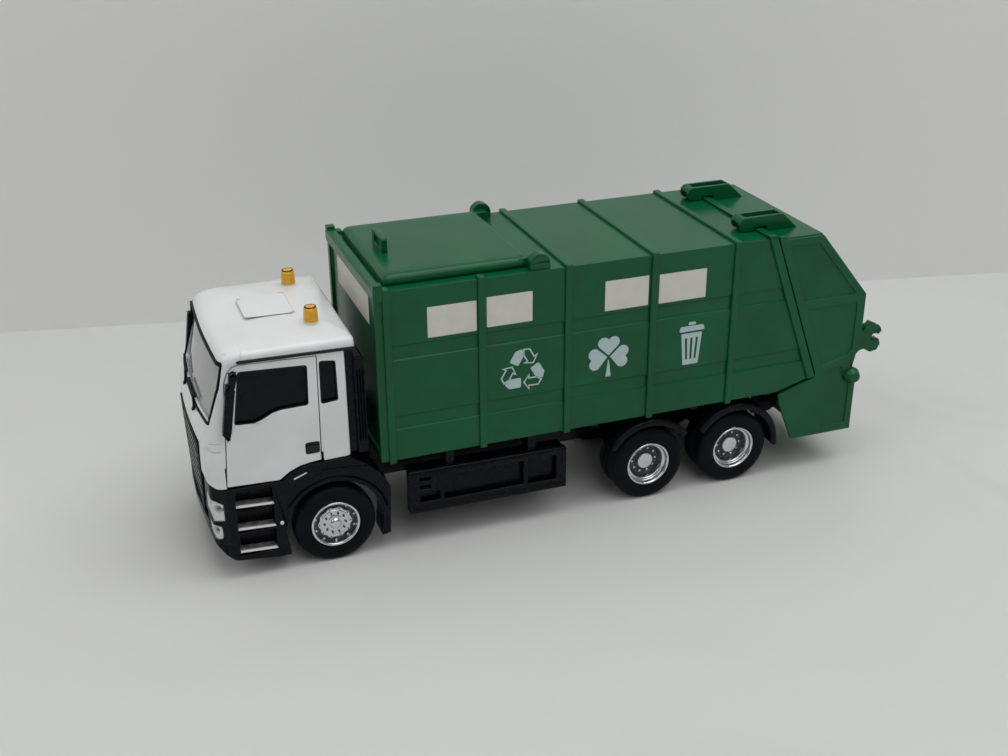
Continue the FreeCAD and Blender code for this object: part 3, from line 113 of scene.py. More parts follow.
def broken_edges(piece, width, segments=2, angle=32):
    """Rounds the edges as a mould does, and keeps the flats flat in the light."""
    bm = bmesh.new()
    bm.from_mesh(piece.data)
    bmesh.ops.triangulate(bm, faces=[face for face in bm.faces if len(face.verts) > 4])
    bm.to_mesh(piece.data)
    bm.free()
    if width:
        bevel = piece.modifiers.new("edge", "BEVEL")
        bevel.width = width * MM
        bevel.segments = segments
        bevel.limit_method = "ANGLE"
        bevel.angle_limit = math.radians(angle)
        bevel.use_clamp_overlap = False
        settle(piece)
    for face in piece.data.polygons:
        face.use_smooth = True
    piece.data.set_sharp_from_angle(angle=math.radians(50))
    weighted = piece.modifiers.new("flats", "WEIGHTED_NORMAL")
    weighted.keep_sharp = True
    return settle(piece)


def fitted(piece, material, body, nodes=()):
    """Paints a piece, hangs it on its body and hides the CAD parts it takes the place of."""
    piece.data.materials.clear()
    piece.data.materials.append(material)
    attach(piece, body)
    if nodes:
        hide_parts(*nodes)
    return piece


def moulding(node, material, width, segments=2):
    """The CAD solid's own form with its edges broken, in the solid's place."""
    source = frame["nodes"][node]
    piece = bpy.data.objects.new(node + "_moulding", source.data.copy())
    bpy.context.scene.collection.objects.link(piece)
    bm = bmesh.new()
    bm.from_mesh(piece.data)
    bmesh.ops.remove_doubles(bm, verts=bm.verts, dist=1e-6)
    bm.to_mesh(piece.data)
    bm.free()
    broken_edges(piece, width, segments)
    return fitted(piece, material, source["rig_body"], (node,))


# satin ABS: a deep black with a spark-eroded grain of about 0.3 mm and duller handled patches
satin_black, tree, place = blank_material("satin_black_ABS")
grain = add(tree, "ShaderNodeTexNoise", {"Vector": place, "Scale": 3300.0, "Detail": 2.0})
scuffs = add(tree, "ShaderNodeTexNoise", {"Vector": place, "Scale": 90.0, "Detail": 5.0,
                                          "Roughness": 0.7})
tone = add(tree, "ShaderNodeValToRGB", {"Fac": scuffs.outputs["Fac"]})
tone.color_ramp.elements[0].position, tone.color_ramp.elements[0].color = 0.35, linear("#08090f")
tone.color_ramp.elements[1].position, tone.color_ramp.elements[1].color = 0.8, linear("#101218")
gloss = add(tree, "ShaderNodeMapRange", {"Value": scuffs.outputs["Fac"], "To Min": 0.2, "To Max": 0.34})
relief = add(tree, "ShaderNodeBump", {"Strength": 0.3, "Distance": 0.00004, "Height": grain.outputs["Fac"]})
skin = add(tree, "ShaderNodeBsdfPrincipled", {"Base Color": tone.outputs["Color"], "IOR": 1.54,
                                              "Specular IOR Level": 0.13,
                                              "Roughness": gloss.outputs["Result"],
                                              "Normal": relief.outputs["Normal"]})
add(tree, "ShaderNodeOutputMaterial", {"Surface": skin.outputs["BSDF"]})
for node, width in (("chassis_frame", 0.2), ("body_subframe", 0.25)):
    moulding(node, satin_black, width)

# ---- Tyres ---------------------------------------------------------------------------------
# Smooth soft-vinyl tyres without tread, pushed over the rims: flat treads with round shoulders
# and a shallow ring pressed into each side wall. Ten of them, single in front and twin behind.
def built(title, verts, faces):
    """A piece from its points and faces, welded, with every face turned outwards."""
    mesh = bpy.data.meshes.new(title)
    mesh.from_pydata(verts, [], faces)
    piece = bpy.data.objects.new(title, mesh)
    bpy.context.scene.collection.objects.link(piece)
    bm = bmesh.new()
    bm.from_mesh(mesh)
    bmesh.ops.remove_doubles(bm, verts=bm.verts, dist=2e-6)
    bmesh.ops.recalc_face_normals(bm, faces=bm.faces)
    bm.to_mesh(mesh)
    bm.free()
    return piece


def turned(title, profile, centre, steps, closed=False):
    """A lathe piece about the axle's line: profile is (x, radius) in millimetres."""
    verts, faces = [], []
    count = len(profile)
    for step in range(steps):
        angle = 2 * math.pi * step / steps
        for x, radius in profile:
            verts.append(at(x, centre[0] + radius * math.cos(angle), centre[1] + radius * math.sin(angle)))
    for step in range(steps):
        here, there = step * count, (step + 1) % steps * count
        for i in range(count if closed else count - 1):
            j = (i + 1) % count
            faces.append((here + i, there + i, there + j, here + j))
    return built(title, verts, faces)


def joined(title, pieces):
    """Several small pieces as one."""
    bm = bmesh.new()
    for piece in pieces:
        bm.from_mesh(piece.data)
        bpy.data.objects.remove(piece)
    mesh = bpy.data.meshes.new(title)
    bm.to_mesh(mesh)
    bm.free()
    whole = bpy.data.objects.new(title, mesh)
    bpy.context.scene.collection.objects.link(whole)
    return whole


# soft vinyl: near black, a dry sheen, dust in the pores of a 0.4 mm grain
vinyl, tree, place = blank_material("soft_black_vinyl")
pores = add(tree, "ShaderNodeTexNoise", {"Vector": place, "Scale": 2500.0, "Detail": 3.0})
dust = add(tree, "ShaderNodeTexNoise", {"Vector": place, "Scale": 140.0, "Detail": 4.0})
tone = add(tree, "ShaderNodeValToRGB", {"Fac": dust.outputs["Fac"]})
tone.color_ramp.elements[0].position, tone.color_ramp.elements[0].color = 0.4, linear("#0c0f13")
tone.color_ramp.elements[1].position, tone.color_ramp.elements[1].color = 0.85, linear("#171a1e")
relief = add(tree, "ShaderNodeBump", {"Strength": 0.35, "Distance": 0.00005, "Height": pores.outputs["Fac"]})
skin = add(tree, "ShaderNodeBsdfPrincipled", {"Base Color": tone.outputs["Color"], "IOR": 1.53,
                                              "Roughness": 0.52, "Specular IOR Level": 0.08,
                                              "Normal": relief.outputs["Normal"]})
add(tree, "ShaderNodeOutputMaterial", {"Surface": skin.outputs["BSDF"]})

MIDDLE_AXLE, REAR_AXLE = 143.6, 186.8
AXLE_HEIGHT, TYRE_RADIUS, BEAD = 17.3, 17.3, 10.4
WHEEL_FACE, INNER_FACE = 38.0, 28.8
# axle, distance of its line from the front axle, outer faces of the tyres on one side, width
AXLES = [("front", 0.0, (WHEEL_FACE,), 9.4), ("middle", MIDDLE_AXLE, (WHEEL_FACE, INNER_FACE), 8.2),
         ("rear", REAR_AXLE, (WHEEL_FACE, INNER_FACE), 8.2)]
# side wall and half the tread: depth behind the tyre's face, radius
SIDE_WALL = [(0.9, BEAD), (0.2, BEAD + 0.5), (0.0, BEAD + 1.1), (0.0, 12.9), (0.16, 13.05), (0.16, 13.25),
             (0.0, 13.4), (0.0, 14.6), (0.3, 15.8), (0.9, 16.7), (1.7, 17.15), (2.7, TYRE_RADIUS)]
for axle, along, outers, width in AXLES:
    for side, sign in (("left", 1), ("right", -1)):
        rings = []
        for outer in outers:
            profile = [(sign * (outer - depth), radius) for depth, radius in SIDE_WALL]
            profile += [(sign * (outer - width + depth), radius) for depth, radius in reversed(SIDE_WALL)]
            rings.append(turned("ring", profile, (along, AXLE_HEIGHT), 112, closed=True))
        node = "%s_tyre_%s" % (axle, side)
        tyre = joined(node + "_vinyl", rings)
        broken_edges(tyre, 0)
        fitted(tyre, vinyl, axle + "_axle", (node,))

# ---- Rims and axle pins --------------------------------------------------------------------
# Vacuum-metallised rims. The front disc bulges out: a scalloped ring between ten slots, nuts and
# a cap. The rear disc lies deep behind a stepped flange. Plain steel pins hold each pair.
chrome, tree, place = blank_material("vacuum_metallised_ABS")
film = add(tree, "ShaderNodeTexNoise", {"Vector": place, "Scale": 500.0, "Detail": 3.0})
haze = add(tree, "ShaderNodeMapRange", {"Value": film.outputs["Fac"], "To Min": 0.14, "To Max": 0.32})
skin = add(tree, "ShaderNodeBsdfPrincipled", {"Base Color": linear("#dcdde0"), "Metallic": 1.0,
                                              "Roughness": haze.outputs["Result"]})
add(tree, "ShaderNodeOutputMaterial", {"Surface": skin.outputs["BSDF"]})
# the shadowed, recessed parts of the rim get a darker metal, which is painted shade
painted_shade_metal, tree, place = blank_material("rim_recess_painted_shade")
recess_mottle = add(tree, "ShaderNodeTexNoise", {"Vector": place, "Scale": 700.0, "Detail": 2.0})
tone = add(tree, "ShaderNodeValToRGB", {"Fac": recess_mottle.outputs["Fac"]})
tone.color_ramp.elements[0].color = linear("#2c2e31")
tone.color_ramp.elements[1].color = linear("#70737a")
skin = add(tree, "ShaderNodeBsdfPrincipled", {"Base Color": tone.outputs["Color"], "Metallic": 0.8,
                                              "Roughness": 0.38})
add(tree, "ShaderNodeOutputMaterial", {"Surface": skin.outputs["BSDF"]})


def scalloped(title, low, high, radius, depth, waves, centre, steps=160):
    """A flat plate across the axle's line whose edge goes in and out in waves."""
    verts = []
    for x in (low, high):
        for step in range(steps):
            angle = 2 * math.pi * step / steps
            edge = radius + depth * math.cos(waves * angle)
            verts.append(at(x, centre[0] + edge * math.cos(angle), centre[1] + edge * math.sin(angle)))
    faces = [(i, (i + 1) % steps, steps + (i + 1) % steps, steps + i) for i in range(steps)]
    faces += [tuple(range(steps)), tuple(range(steps, 2 * steps))]
    return built(title, verts, faces)


BOLTS = 10
# depth behind the wheel's face, radius
FRONT_FLANGE = [(3.4, 10.4), (0.5, 10.4), (0.12, 10.25), (0.0, 9.95), (0.15, 9.5), (0.5, 9.2), (1.6, 9.1),
                (3.4, 9.0)]
BRIDGE = [(3.3, 0.55), (1.9, 0.5), (1.75, 0.3), (1.75, 0.001)]
HUB = [(1.75, 6.1), (1.35, 5.9), (1.35, 5.3), (1.55, 5.1), (1.5, 3.9), (1.0, 3.5), (0.9, 2.9), (1.1, 2.6),
       (0.5, 2.3), (0.1, 1.9), (-0.15, 1.2), (-0.2, 0.001)]
FRONT_NUT = [(1.6, 0.42), (1.0, 0.42), (0.85, 0.25), (0.85, 0.001)]
STUD = [(1.75, 0.3), (1.45, 0.28), (1.4, 0.001)]
REAR_FLANGE = [(2.8, 10.4), (0.5, 10.4), (0.15, 10.2), (0.05, 9.85), (0.25, 9.5), (0.9, 9.25), (1.9, 9.2),
               (2.3, 8.9), (2.35, 8.5), (2.6, 8.2), (3.1, 8.0), (5.4, 7.7)]
DISH = [(5.3, 7.9), (6.3, 7.2), (6.5, 6.9), (6.5, 4.6), (6.1, 4.3), (6.0, 3.6)]
CAP = [(6.4, 3.75), (3.9, 3.75), (3.55, 3.6), (3.4, 3.3), (3.4, 0.001)]
REAR_NUT = [(6.6, 0.62), (5.2, 0.62), (5.0, 0.4), (5.0, 0.001)]
for axle, along, *_ in AXLES:
    bright, dark = [], []
    for sign in (1, -1):
        centre = (along, AXLE_HEIGHT)
        face = sign * WHEEL_FACE

        def lathed(title, profile, steps, off=0.0, turn=0.0):
            """A lathe piece on this wheel: profile is (depth behind its face, radius)."""
            angle = 2 * math.pi * turn / BOLTS
            spot = (along + off * math.cos(angle), AXLE_HEIGHT + off * math.sin(angle))
            return turned(title, [(face - sign * depth, radius) for depth, radius in profile], spot, steps)

        if axle == "front":
            bright.append(lathed("flange", FRONT_FLANGE, 96))
            dark.append(lathed("well", [(3.3, 9.4), (3.4, 1.0)], 64))
            # ten bridges cross the gap between the flange and the scalloped ring
            bright += [lathed("bridge", BRIDGE, 12, 8.5, bolt + 0.5) for bolt in range(BOLTS)]
            ring = scalloped("scallops", face - sign * 3.2, face - sign * 1.7, 7.05, 0.36, BOLTS, centre)
            bright.append(broken_edges(ring, 0.22))
            bright.append(lathed("hub", HUB, 64))
            for bolt in range(BOLTS):
                dark.append(lathed("nut", FRONT_NUT, 8, 4.5, bolt))
                dark.append(lathed("stud", STUD, 8, 6.7, bolt))
        else:
            bright.append(lathed("flange", REAR_FLANGE, 96))
            dark.append(lathed("dish", DISH, 96))
            bright.append(lathed("cap", CAP, 48))
            bright += [lathed("nut", REAR_NUT, 8, 5.7, bolt) for bolt in range(BOLTS)]
            bright.append(lathed("barrel", [(2.8, 10.4), (17.3, 10.4), (17.3, 9.4), (5.4, 9.4)], 64))
    bright = broken_edges(joined(axle + "_rims_bright", bright), 0)
    dark = broken_edges(joined(axle + "_rims_painted_shade", dark), 0)
    fitted(bright, chrome, axle + "_axle", (axle + "_rims",))
    # the well, dish, front nuts and studs take the darker metal as painted shade in the rim's recesses
    fitted(dark, painted_shade_metal, axle + "_axle")

# drawn steel pins, brushed round their length by the die
pin_steel, tree, place = blank_material("drawn_steel")
stretch = add(tree, "ShaderNodeMapping", {"Vector": place, "Scale": (60.0, 4000.0, 4000.0)})
lines = add(tree, "ShaderNodeTexNoise", {"Vector": stretch.outputs["Vector"], "Scale": 1.0, "Detail": 2.0})
gloss = add(tree, "ShaderNodeMapRange", {"Value": lines.outputs["Fac"], "To Min": 0.2, "To Max": 0.42})
skin = add(tree, "ShaderNodeBsdfPrincipled", {"Base Color": linear("#b9babd"), "Metallic": 1.0,
                                              "Roughness": gloss.outputs["Result"]})
add(tree, "ShaderNodeOutputMaterial", {"Surface": skin.outputs["BSDF"]})
for axle, *_ in AXLES:
    moulding(axle + "_axle_pin", pin_steel, 0.15)

# ---- Cab shell -----------------------------------------------------------------------------
# A hollow zinc die-casting in gloss white enamel: bowed nose, crowned roof that overhangs the back,
# windows and door openings cut through 1.5 mm walls. The enamel rounds every edge.
CAB_WALL, CAB_HALF, CAB_BACK, ROOF_BACK = 1.5, 37.5, 8.4, 12.6
# the nose bows forward in plan, and its corners are rounded where the form is wide enough
NOSE_BOW, CORNER_RADIUS, CORNER_SHARE, BACK_CORNER = 1.7, 6.0, 0.45, 1.4
# height, half width, nose, back: one row per level of the form
CAB_LEVELS = [(40.0, 37.5, -50.9, 8.4), (47.0, 37.5, -51.2, 8.4), (55.0, 37.5, -51.25, 8.4),
              (62.5, 37.5, -51.0, 8.4), (66.0, 37.5, -50.3, 8.4), (69.5, 37.5, -48.7, 8.4),
              (76.0, 37.5, -47.0, 8.4), (83.0, 37.5, -45.3, 8.4), (90.0, 37.4, -43.6, 8.4),
              (95.4, 37.4, -42.3, 8.4), (95.5, 37.5, -42.2, 12.6), (97.4, 37.5, -41.6, 12.6),
              (98.9, 37.1, -40.1, 12.5), (99.9, 36.0, -38.4, 12.0), (100.7, 33.6, -35.4, 11.0),
              (101.4, 29.6, -31.4, 8.4), (102.0, 24.4, -26.6, 5.4), (102.5, 18.0, -21.4, 1.0),
              (102.8, 11.0, -16.0, -3.0), (102.9, 4.0, -11.6, -7.6)]


def cab_ring(level, half, nose, back, wall):
    """One level of the cab in plan, from the middle of the back round to the middle of the nose."""
    half, nose, back = half - wall, nose + wall, back - wall
    corner = min(CORNER_RADIUS, CORNER_SHARE * half)
    edge = nose + NOSE_BOW * ((half - corner) / CAB_HALF) ** 2
    right = [(0.0, back), (half * 0.5, back), (half - BACK_CORNER, back), (half - 0.4, back - 0.4),
             (half, back - BACK_CORNER)]
    run = (back - BACK_CORNER) - (edge + corner)
    right += [(half, back - BACK_CORNER - run * part) for part in (0.2, 0.4, 0.6, 0.8)]
    for step in range(9):
        turn = math.radians(90 * step / 8)
        right.append((half - corner + corner * math.cos(turn), edge + corner - corner * math.sin(turn)))
    for part in (0.75, 0.5, 0.25, 0.0):
        x = (half - corner) * part
        right.append((x, nose + NOSE_BOW * (x / CAB_HALF) ** 2))
    left = [(-x, y) for x, y in reversed(right[1:-1])]
    return [at(x, y, level) for x, y in right + left]


def cab_form(title, inset=None):
    """The cab as a shell with its own wall, open below, or as a solid set back by an amount."""
    if inset is None:
        lining = []
        for z, half, nose, back in CAB_LEVELS[:-1]:
            back = min(back, CAB_BACK if z < 97.5 else ROOF_BACK)
            lining.append(cab_ring(z if z < 95 else z - 1.4, half, nose, back, CAB_WALL))
        groups = [[cab_ring(*level, 0) for level in CAB_LEVELS], lining]
    else:
        groups = [[cab_ring(*level, inset) for level in CAB_LEVELS]]
    verts, faces = [], []
    count = len(groups[0][0])
    for rings in groups:
        base = len(verts)
        for ring in rings:
            verts += ring
        for row in range(len(rings) - 1):
            a, b = base + row * count, base + (row + 1) * count
            faces += [(a + i, a + (i + 1) % count, b + (i + 1) % count, b + i) for i in range(count)]
        faces.append(tuple(range(b, b + count)))
    if inset is None:
        inner = len(groups[0]) * count
        faces += [(i, (i + 1) % count, inner + (i + 1) % count, inner + i) for i in range(count)]
    else:
        faces.append(tuple(range(count)))
    return built(title, verts, faces)


def plate(view, outline, low, high, title="plate"):
    """A plate between two planes: view side reads (y, z), plan (x, y) and front (x, z)."""
    def corner(u, v, depth):
        return at(*{"side": (depth, u, v), "plan": (u, v, depth), "front": (u, depth, v)}[view])
    count = len(outline)
    verts = [corner(u, v, low) for u, v in outline] + [corner(u, v, high) for u, v in outline]
    faces = [tuple(range(count)), tuple(range(count, 2 * count))]
    faces += [(i, (i + 1) % count, count + (i + 1) % count, count + i) for i in range(count)]
    return built(title, verts, faces)


def oblong(u, v, across_to, up_to):
    """The outline of a rectangle from one corner to the opposite one."""
    return [(u, v), (across_to, v), (across_to, up_to), (u, up_to)]


def softened(outline, radius, steps=4):
    """The outline with its corners turned as arcs."""
    count, result = len(outline), []
    for i in range(count):
        before, here, after = (Vector(outline[(i + k) % count]) for k in (-1, 0, 1))
        one, two = (before - here), (after - here)
        half = one.angle(two) / 2
        reach = min(radius / math.tan(half), 0.45 * one.length, 0.45 * two.length)
        start, end = here + one.normalized() * reach, here + two.normalized() * reach
        for step in range(steps + 1):
            t = step / steps
            result.append(tuple(start * (1 - t) ** 2 + here * 2 * t * (1 - t) + end * t ** 2))
    return result


def arc(centre, radius, angles):
    """Points on a circle at each angle in degrees."""
    return [(centre[0] + radius * math.cos(math.radians(a)), centre[1] + radius * math.sin(math.radians(a)))
            for a in angles]


def grown(outline, amount):
    """The outline moved outwards by an amount all round."""
    count = len(outline)
    area = sum(outline[i][0] * outline[(i + 1) % count][1] - outline[(i + 1) % count][0] * outline[i][1]
               for i in range(count))
    sign = 1 if area > 0 else -1
    result = []
    for i in range(count):
        before, here, after = (Vector(outline[(i + k) % count]) for k in (-1, 0, 1))
        one, two = (here - before).normalized(), (after - here).normalized()
        normal = Vector((one.y + two.y, -one.x - two.x)).normalized() * sign
        spread = max(0.5, normal.dot(Vector((one.y, -one.x)) * sign))
        result.append(tuple(here + normal * amount / spread))
    return result


def across(sign, near, far):
    """From near to far from the truck's middle, on the side that sign tells, lower x first."""
    return sorted((sign * near, sign * far))


def both(view, outline, low, high):
    """The same plate on both sides of the truck."""
    return [plate(view, outline, low, high), plate(view, outline, -high, -low)]


def broken_pair(view, outline, low, high, width, segments=2):
    """The same plate on both sides of the truck, with its edges rounded."""
    return [broken_edges(side, width, segments) for side in both(view, outline, low, high)]


def finished(title, pieces, material, body, nodes=(), width=0, segments=2, angle=32):
    """Several small pieces as one, with its edges rounded, painted and hung on its body."""
    return fitted(broken_edges(joined(title, pieces), width, segments, angle), material, body, nodes)


def carved(piece, cutters, how="DIFFERENCE", overlapping=True):
    """Cuts the cutters out of a piece, or keeps what lies in them."""
    cutter = joined("cutter", cutters)
    step = piece.modifiers.new("cut", "BOOLEAN")
    step.operation = how
    step.object = cutter
    step.solver = "EXACT"
    step.use_self = overlapping
    settle(piece)
    bpy.data.objects.remove(cutter)
    return piece


def carved_in_turn(piece, cutters):
    """Cuts out cutters that overlap each other one after another."""
    for cutter in cutters:
        carved(piece, [cutter])
    return piece


# gloss enamel: a smooth thick white with the faintest orange peel, 1.5 mm from wave to wave
enamel, tree, place = blank_material("gloss_white_enamel")
peel = add(tree, "ShaderNodeTexNoise", {"Vector": place, "Scale": 650.0, "Detail": 1.0})
age = add(tree, "ShaderNodeTexNoise", {"Vector": place, "Scale": 45.0, "Detail": 4.0})
tone = add(tree, "ShaderNodeValToRGB", {"Fac": age.outputs["Fac"]})
tone.color_ramp.elements[0].position, tone.color_ramp.elements[0].color = 0.3, linear("#dfe1e1")
tone.color_ramp.elements[1].position, tone.color_ramp.elements[1].color = 0.7, linear("#e8eaeb")
relief = add(tree, "ShaderNodeBump", {"Strength": 0.12, "Distance": 0.00003, "Height": peel.outputs["Fac"]})
skin = add(tree, "ShaderNodeBsdfPrincipled", {"Base Color": tone.outputs["Color"], "IOR": 1.5,
                                              "Roughness": 0.22, "Coat Weight": 0.5, "Coat Roughness": 0.06,
                                              "Normal": relief.outputs["Normal"]})
add(tree, "ShaderNodeOutputMaterial", {"Surface": skin.outputs["BSDF"]})

# (y, z) outlines on the cab's side; the windscreen's is in (x, z), seen from the front
DOOR = [(-42.3, 43.4), (-21.4, 42.6), (-17, 45.7), (-12.6, 47.5), (-8.6, 48.2), (-4, 48.6), (-3.2, 94.2),
        (-33.4, 95.2), (-36, 94.3), (-37.8, 92), (-39.2, 87.8)]
DOOR_WINDOW = [(-37.2, 70.0), (-29.4, 69.6), (-26.4, 70.5), (-21.8, 72.8), (-18.6, 73.5), (-7.4, 73.8),
               (-6.9, 91.1), (-33.9, 92.5)]
QUARTER_WINDOW = [(-2.5, 73.2), (4.6, 73.8), (4.4, 91.2), (-2.2, 92.0)]
SCREEN = [(-34.4, 71.6), (-30, 70.9), (-16, 70.4), (16, 70.4), (30, 70.9), (34.4, 71.6), (35.8, 86),
          (35.6, 96.2), (16, 96.8), (-16, 96.8), (-35.6, 96.2), (-35.8, 86)]
UNDER_CAB = [(-60, 30), (-60, 46.8), (-50.6, 46.8), (-49, 44.6), (-46.4, 43.0), (-43, 42.6), (-20.8, 42.4),
             (-17, 45.4), (-12.6, 47.2), (-8.6, 47.9), (8.3, 48.4), (20, 48.4), (20, 30)]

shell = cab_form("cab_shell_casting")
grille_bay = plate("front", [(-24.6, 36), (24.6, 36), (26, 60), (-26, 60)], -60, -46)
carved(shell, [plate("side", UNDER_CAB, -45, 45)])
# below the doors the side walls are open down to the bumper and the wings
carved(shell, both("side", oblong(-42.6, 36, -2.9, 52), 34, 45))
carved(shell, both("side", grown(DOOR, 0.35), 34, 45) + both("side", softened(QUARTER_WINDOW, 1.2), 34, 45))
carved(shell, [plate("front", softened(SCREEN, 2.2), -60, -37), grille_bay,
               plate("front", softened(oblong(-16, 74, 16, 90), 1.5), 4, 10)])
broken_edges(shell, 0.28, 3, 38)
# two pressed lines on each corner of the nose, 0.55 mm deep
lines = []
for near, start, end in ((36.0, 63.5, 62.6), (34.6, 61.0, 58.8)):
    for sign in (1, -1):
        lines.append(plate("front", [(sign * near, start - 0.2), (sign * 38.5, end - 0.3),
                                     (sign * 38.5, end + 0.3), (sign * near, start + 0.2)], -53, -43.5))
pressed = carved(joined("pressed_lines", lines), [cab_form("cab_core", 0.55)])
carved(shell, [pressed], overlapping=False)
# a joint runs up over the roof's shoulder at the front end of each black roof-edge strip, and a short notch
# marks each front corner
notches = both("side", [(-32.4, 96), (-32.0, 96), (-31.7, 101.9), (-32.1, 101.9)], 34.6, 40)
for sign in (1, -1):
    notches.append(plate("plan", [(sign * 33.2, -38.9), (sign * 34.6, -37.3), (sign * 34.3, -37.0),
                                  (sign * 32.9, -38.6)], 97, 104))
hatch_low, hatch_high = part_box("roof_hatch")
near, far, half = [v / MM for v in (hatch_low.y - STATION, hatch_high.y - STATION, hatch_high.x)]
hatch = softened(oblong(-half, near, half, far), 2.6)
channel = plate("plan", grown(hatch, 0.55), 95, 110)
carved(channel, [plate("plan", grown(hatch, -0.2), 90, 115)])
notches.append(channel)
cuts = carved(joined("roof_notches", notches), [cab_form("roof_core", 0.35)])
carved(shell, [cuts], overlapping=False)
fitted(broken_edges(shell, 0), enamel, "truck", ("cab_shell",))

# ---- Doors ---------------------------------------------------------------------------------
# Each door is its own casting in the same enamel, with a dark gap all round. Its sill curves up
# over the wheel, and a black handle lies in a pocket at its back edge.
HANDLE = oblong(-10.1, 51.8, -4.2, 57.2)
for side, sign in (("left", 1), ("right", -1)):
    door = cab_form("door_%s_casting" % side)
    low, high = across(sign, 34.0, 45.0)
    carved(door, [plate("side", DOOR, low, high)], "INTERSECT")
    pocket_low, pocket_high = across(sign, 36.9, 45.0)
    carved(door, [plate("side", softened(DOOR_WINDOW, 1.4), low, high)])
    carved(door, [plate("side", softened(HANDLE, 1.1), pocket_low, pocket_high)])
    broken_edges(door, 0.25, 3, 38)
    fitted(door, enamel, "door_" + side, ("door_" + side,))

# gloss black ABS: handles, window seals and lamp sockets are polished in the mould; it also paints the black
# strips of shade along the roof's edge
gloss_black, tree, place = blank_material("gloss_black_ABS")
flow = add(tree, "ShaderNodeTexNoise", {"Vector": place, "Scale": 260.0, "Detail": 3.0})
gloss = add(tree, "ShaderNodeMapRange", {"Value": flow.outputs["Fac"], "To Min": 0.12, "To Max": 0.26})
tone = add(tree, "ShaderNodeValToRGB", {"Fac": flow.outputs["Fac"]})
tone.color_ramp.elements[0].color = linear("#07080b")
tone.color_ramp.elements[1].color = linear("#101218")
skin = add(tree, "ShaderNodeBsdfPrincipled", {"Base Color": tone.outputs["Color"], "IOR": 1.54,
                                              "Specular IOR Level": 0.3,
                                              "Roughness": gloss.outputs["Result"]})
add(tree, "ShaderNodeOutputMaterial", {"Surface": skin.outputs["BSDF"]})
for side, sign in (("left", 1), ("right", -1)):
    low, high = across(sign, 36.85, 37.15)
    floor_of_pocket = plate("side", grown(softened(HANDLE, 1.1), -0.08), low, high)
    low, high = across(sign, 37.1, 37.75)
    lever = plate("side", softened([(-9.6, 53.0), (-4.7, 53.4), (-4.7, 55.6), (-9.6, 55.9)], 0.6), low, high)
    handle = broken_edges(joined("door_handle_%s_lever" % side, [floor_of_pocket, lever]), 0.15)
    fitted(handle, gloss_black, "door_" + side, ("door_handle_" + side,))

# ---- Mirrors -------------------------------------------------------------------------------
# A tall slim housing on two stalks at the door's front edge, with a small wide-angle mirror over
# the main one. The glasses are metallised strips let into the back of the housing.
mirror_glass, tree, place = blank_material("metallised_mirror_strip")
smear = add(tree, "ShaderNodeTexNoise", {"Vector": place, "Scale": 300.0, "Detail": 2.0})
gloss = add(tree, "ShaderNodeMapRange", {"Value": smear.outputs["Fac"], "To Min": 0.04, "To Max": 0.14})
skin = add(tree, "ShaderNodeBsdfPrincipled", {"Base Color": linear("#c9ccd0"), "Metallic": 1.0,
                                              "Roughness": gloss.outputs["Result"]})
add(tree, "ShaderNodeOutputMaterial", {"Surface": skin.outputs["BSDF"]})
MIRROR = [(-42.5, 69.6), (-41.3, 67.0), (-40.1, 66.7), (-39.4, 68.4), (-36.1, 87.4), (-36.4, 88.8),
          (-38.7, 89.8), (-39.6, 88.8)]
WIDE_MIRROR = [(-38.3, 89.0), (-36.0, 88.2), (-34.6, 93.2), (-35.2, 94.2), (-37.0, 94.3), (-37.8, 93.6)]
# the glasses: name, outline, inner and outer end
MIRROR_STRIPS = [("mirror", [(-39.2, 69.4), (-36.25, 87.0), (-35.95, 86.9), (-38.9, 69.3)], 40.3, 43.3),
                 ("wide_mirror", [(-35.8, 90.2), (-34.95, 92.9), (-34.7, 92.8), (-35.55, 90.1)], 40.5, 42.6)]
# the right-hand mirror is pushed a little further forward and down
for side, sign, push in (("left", 1, Vector((0, 0))), ("right", -1, Vector((-2.9, -1.4)))):
    def pushed(outline):
        return [tuple(Vector(point) + push) for point in outline]
    housing = broken_edges(plate("side", pushed(softened(MIRROR, 0.9)), *across(sign, 39.8, 43.6)), 0.7, 4)
    wide = broken_edges(plate("side", pushed(softened(WIDE_MIRROR, 0.6)), *across(sign, 40.1, 43.0)), 0.5, 3)
    stalks = []
    for y, height in ((-39.9, 70.6), (-37.0, 90.4)) if sign > 0 else ((-41.6, 69.6), (-38.6, 89.2)):
        arm = [(y - 0.6, height - 0.5), (y + 0.6, height - 0.5), (y + 0.5, height + 0.5),
               (y - 0.5, height + 0.5)]
        stalks.append(broken_edges(plate("side", arm, *across(sign, 37.55, 41.2)), 0.2))
    mirror = joined("mirror_%s_housing" % side, [housing, wide] + stalks)
    fitted(broken_edges(mirror, 0), satin_black, "door_" + side, ("mirror_" + side,))
    # the strips of mirror lie on the rear faces, turned towards the seats
    for title, strip, low, high in MIRROR_STRIPS:
        glass = broken_edges(plate("side", pushed(strip), *across(sign, low, high),
                                   "%s_%s_glass" % (title, side)), 0.05)
        fitted(glass, mirror_glass, "door_" + side)

# ---- Windscreen and window panes -----------------------------------------------------------
# One clear styrene screen in a soft black frame lies behind the opening. The side panes are
# smoked almost black and stand just behind the door skin.
smoked, tree, place = blank_material("smoked_styrene")
flow = add(tree, "ShaderNodeTexNoise", {"Vector": place, "Scale": 60.0, "Detail": 2.0})
wave = add(tree, "ShaderNodeBump", {"Strength": 0.1, "Distance": 0.0004, "Height": flow.outputs["Fac"]})
tone = add(tree, "ShaderNodeValToRGB", {"Fac": flow.outputs["Fac"]})
tone.color_ramp.elements[0].color = linear("#05070c")
tone.color_ramp.elements[1].color = linear("#0c1018")
skin = add(tree, "ShaderNodeBsdfPrincipled", {"Base Color": tone.outputs["Color"], "IOR": 1.59,
                                              "Roughness": 0.05, "Specular IOR Level": 0.12,
                                              "Normal": wave.outputs["Normal"]})
add(tree, "ShaderNodeOutputMaterial", {"Surface": skin.outputs["BSDF"]})
PANE_FACE = 35.9
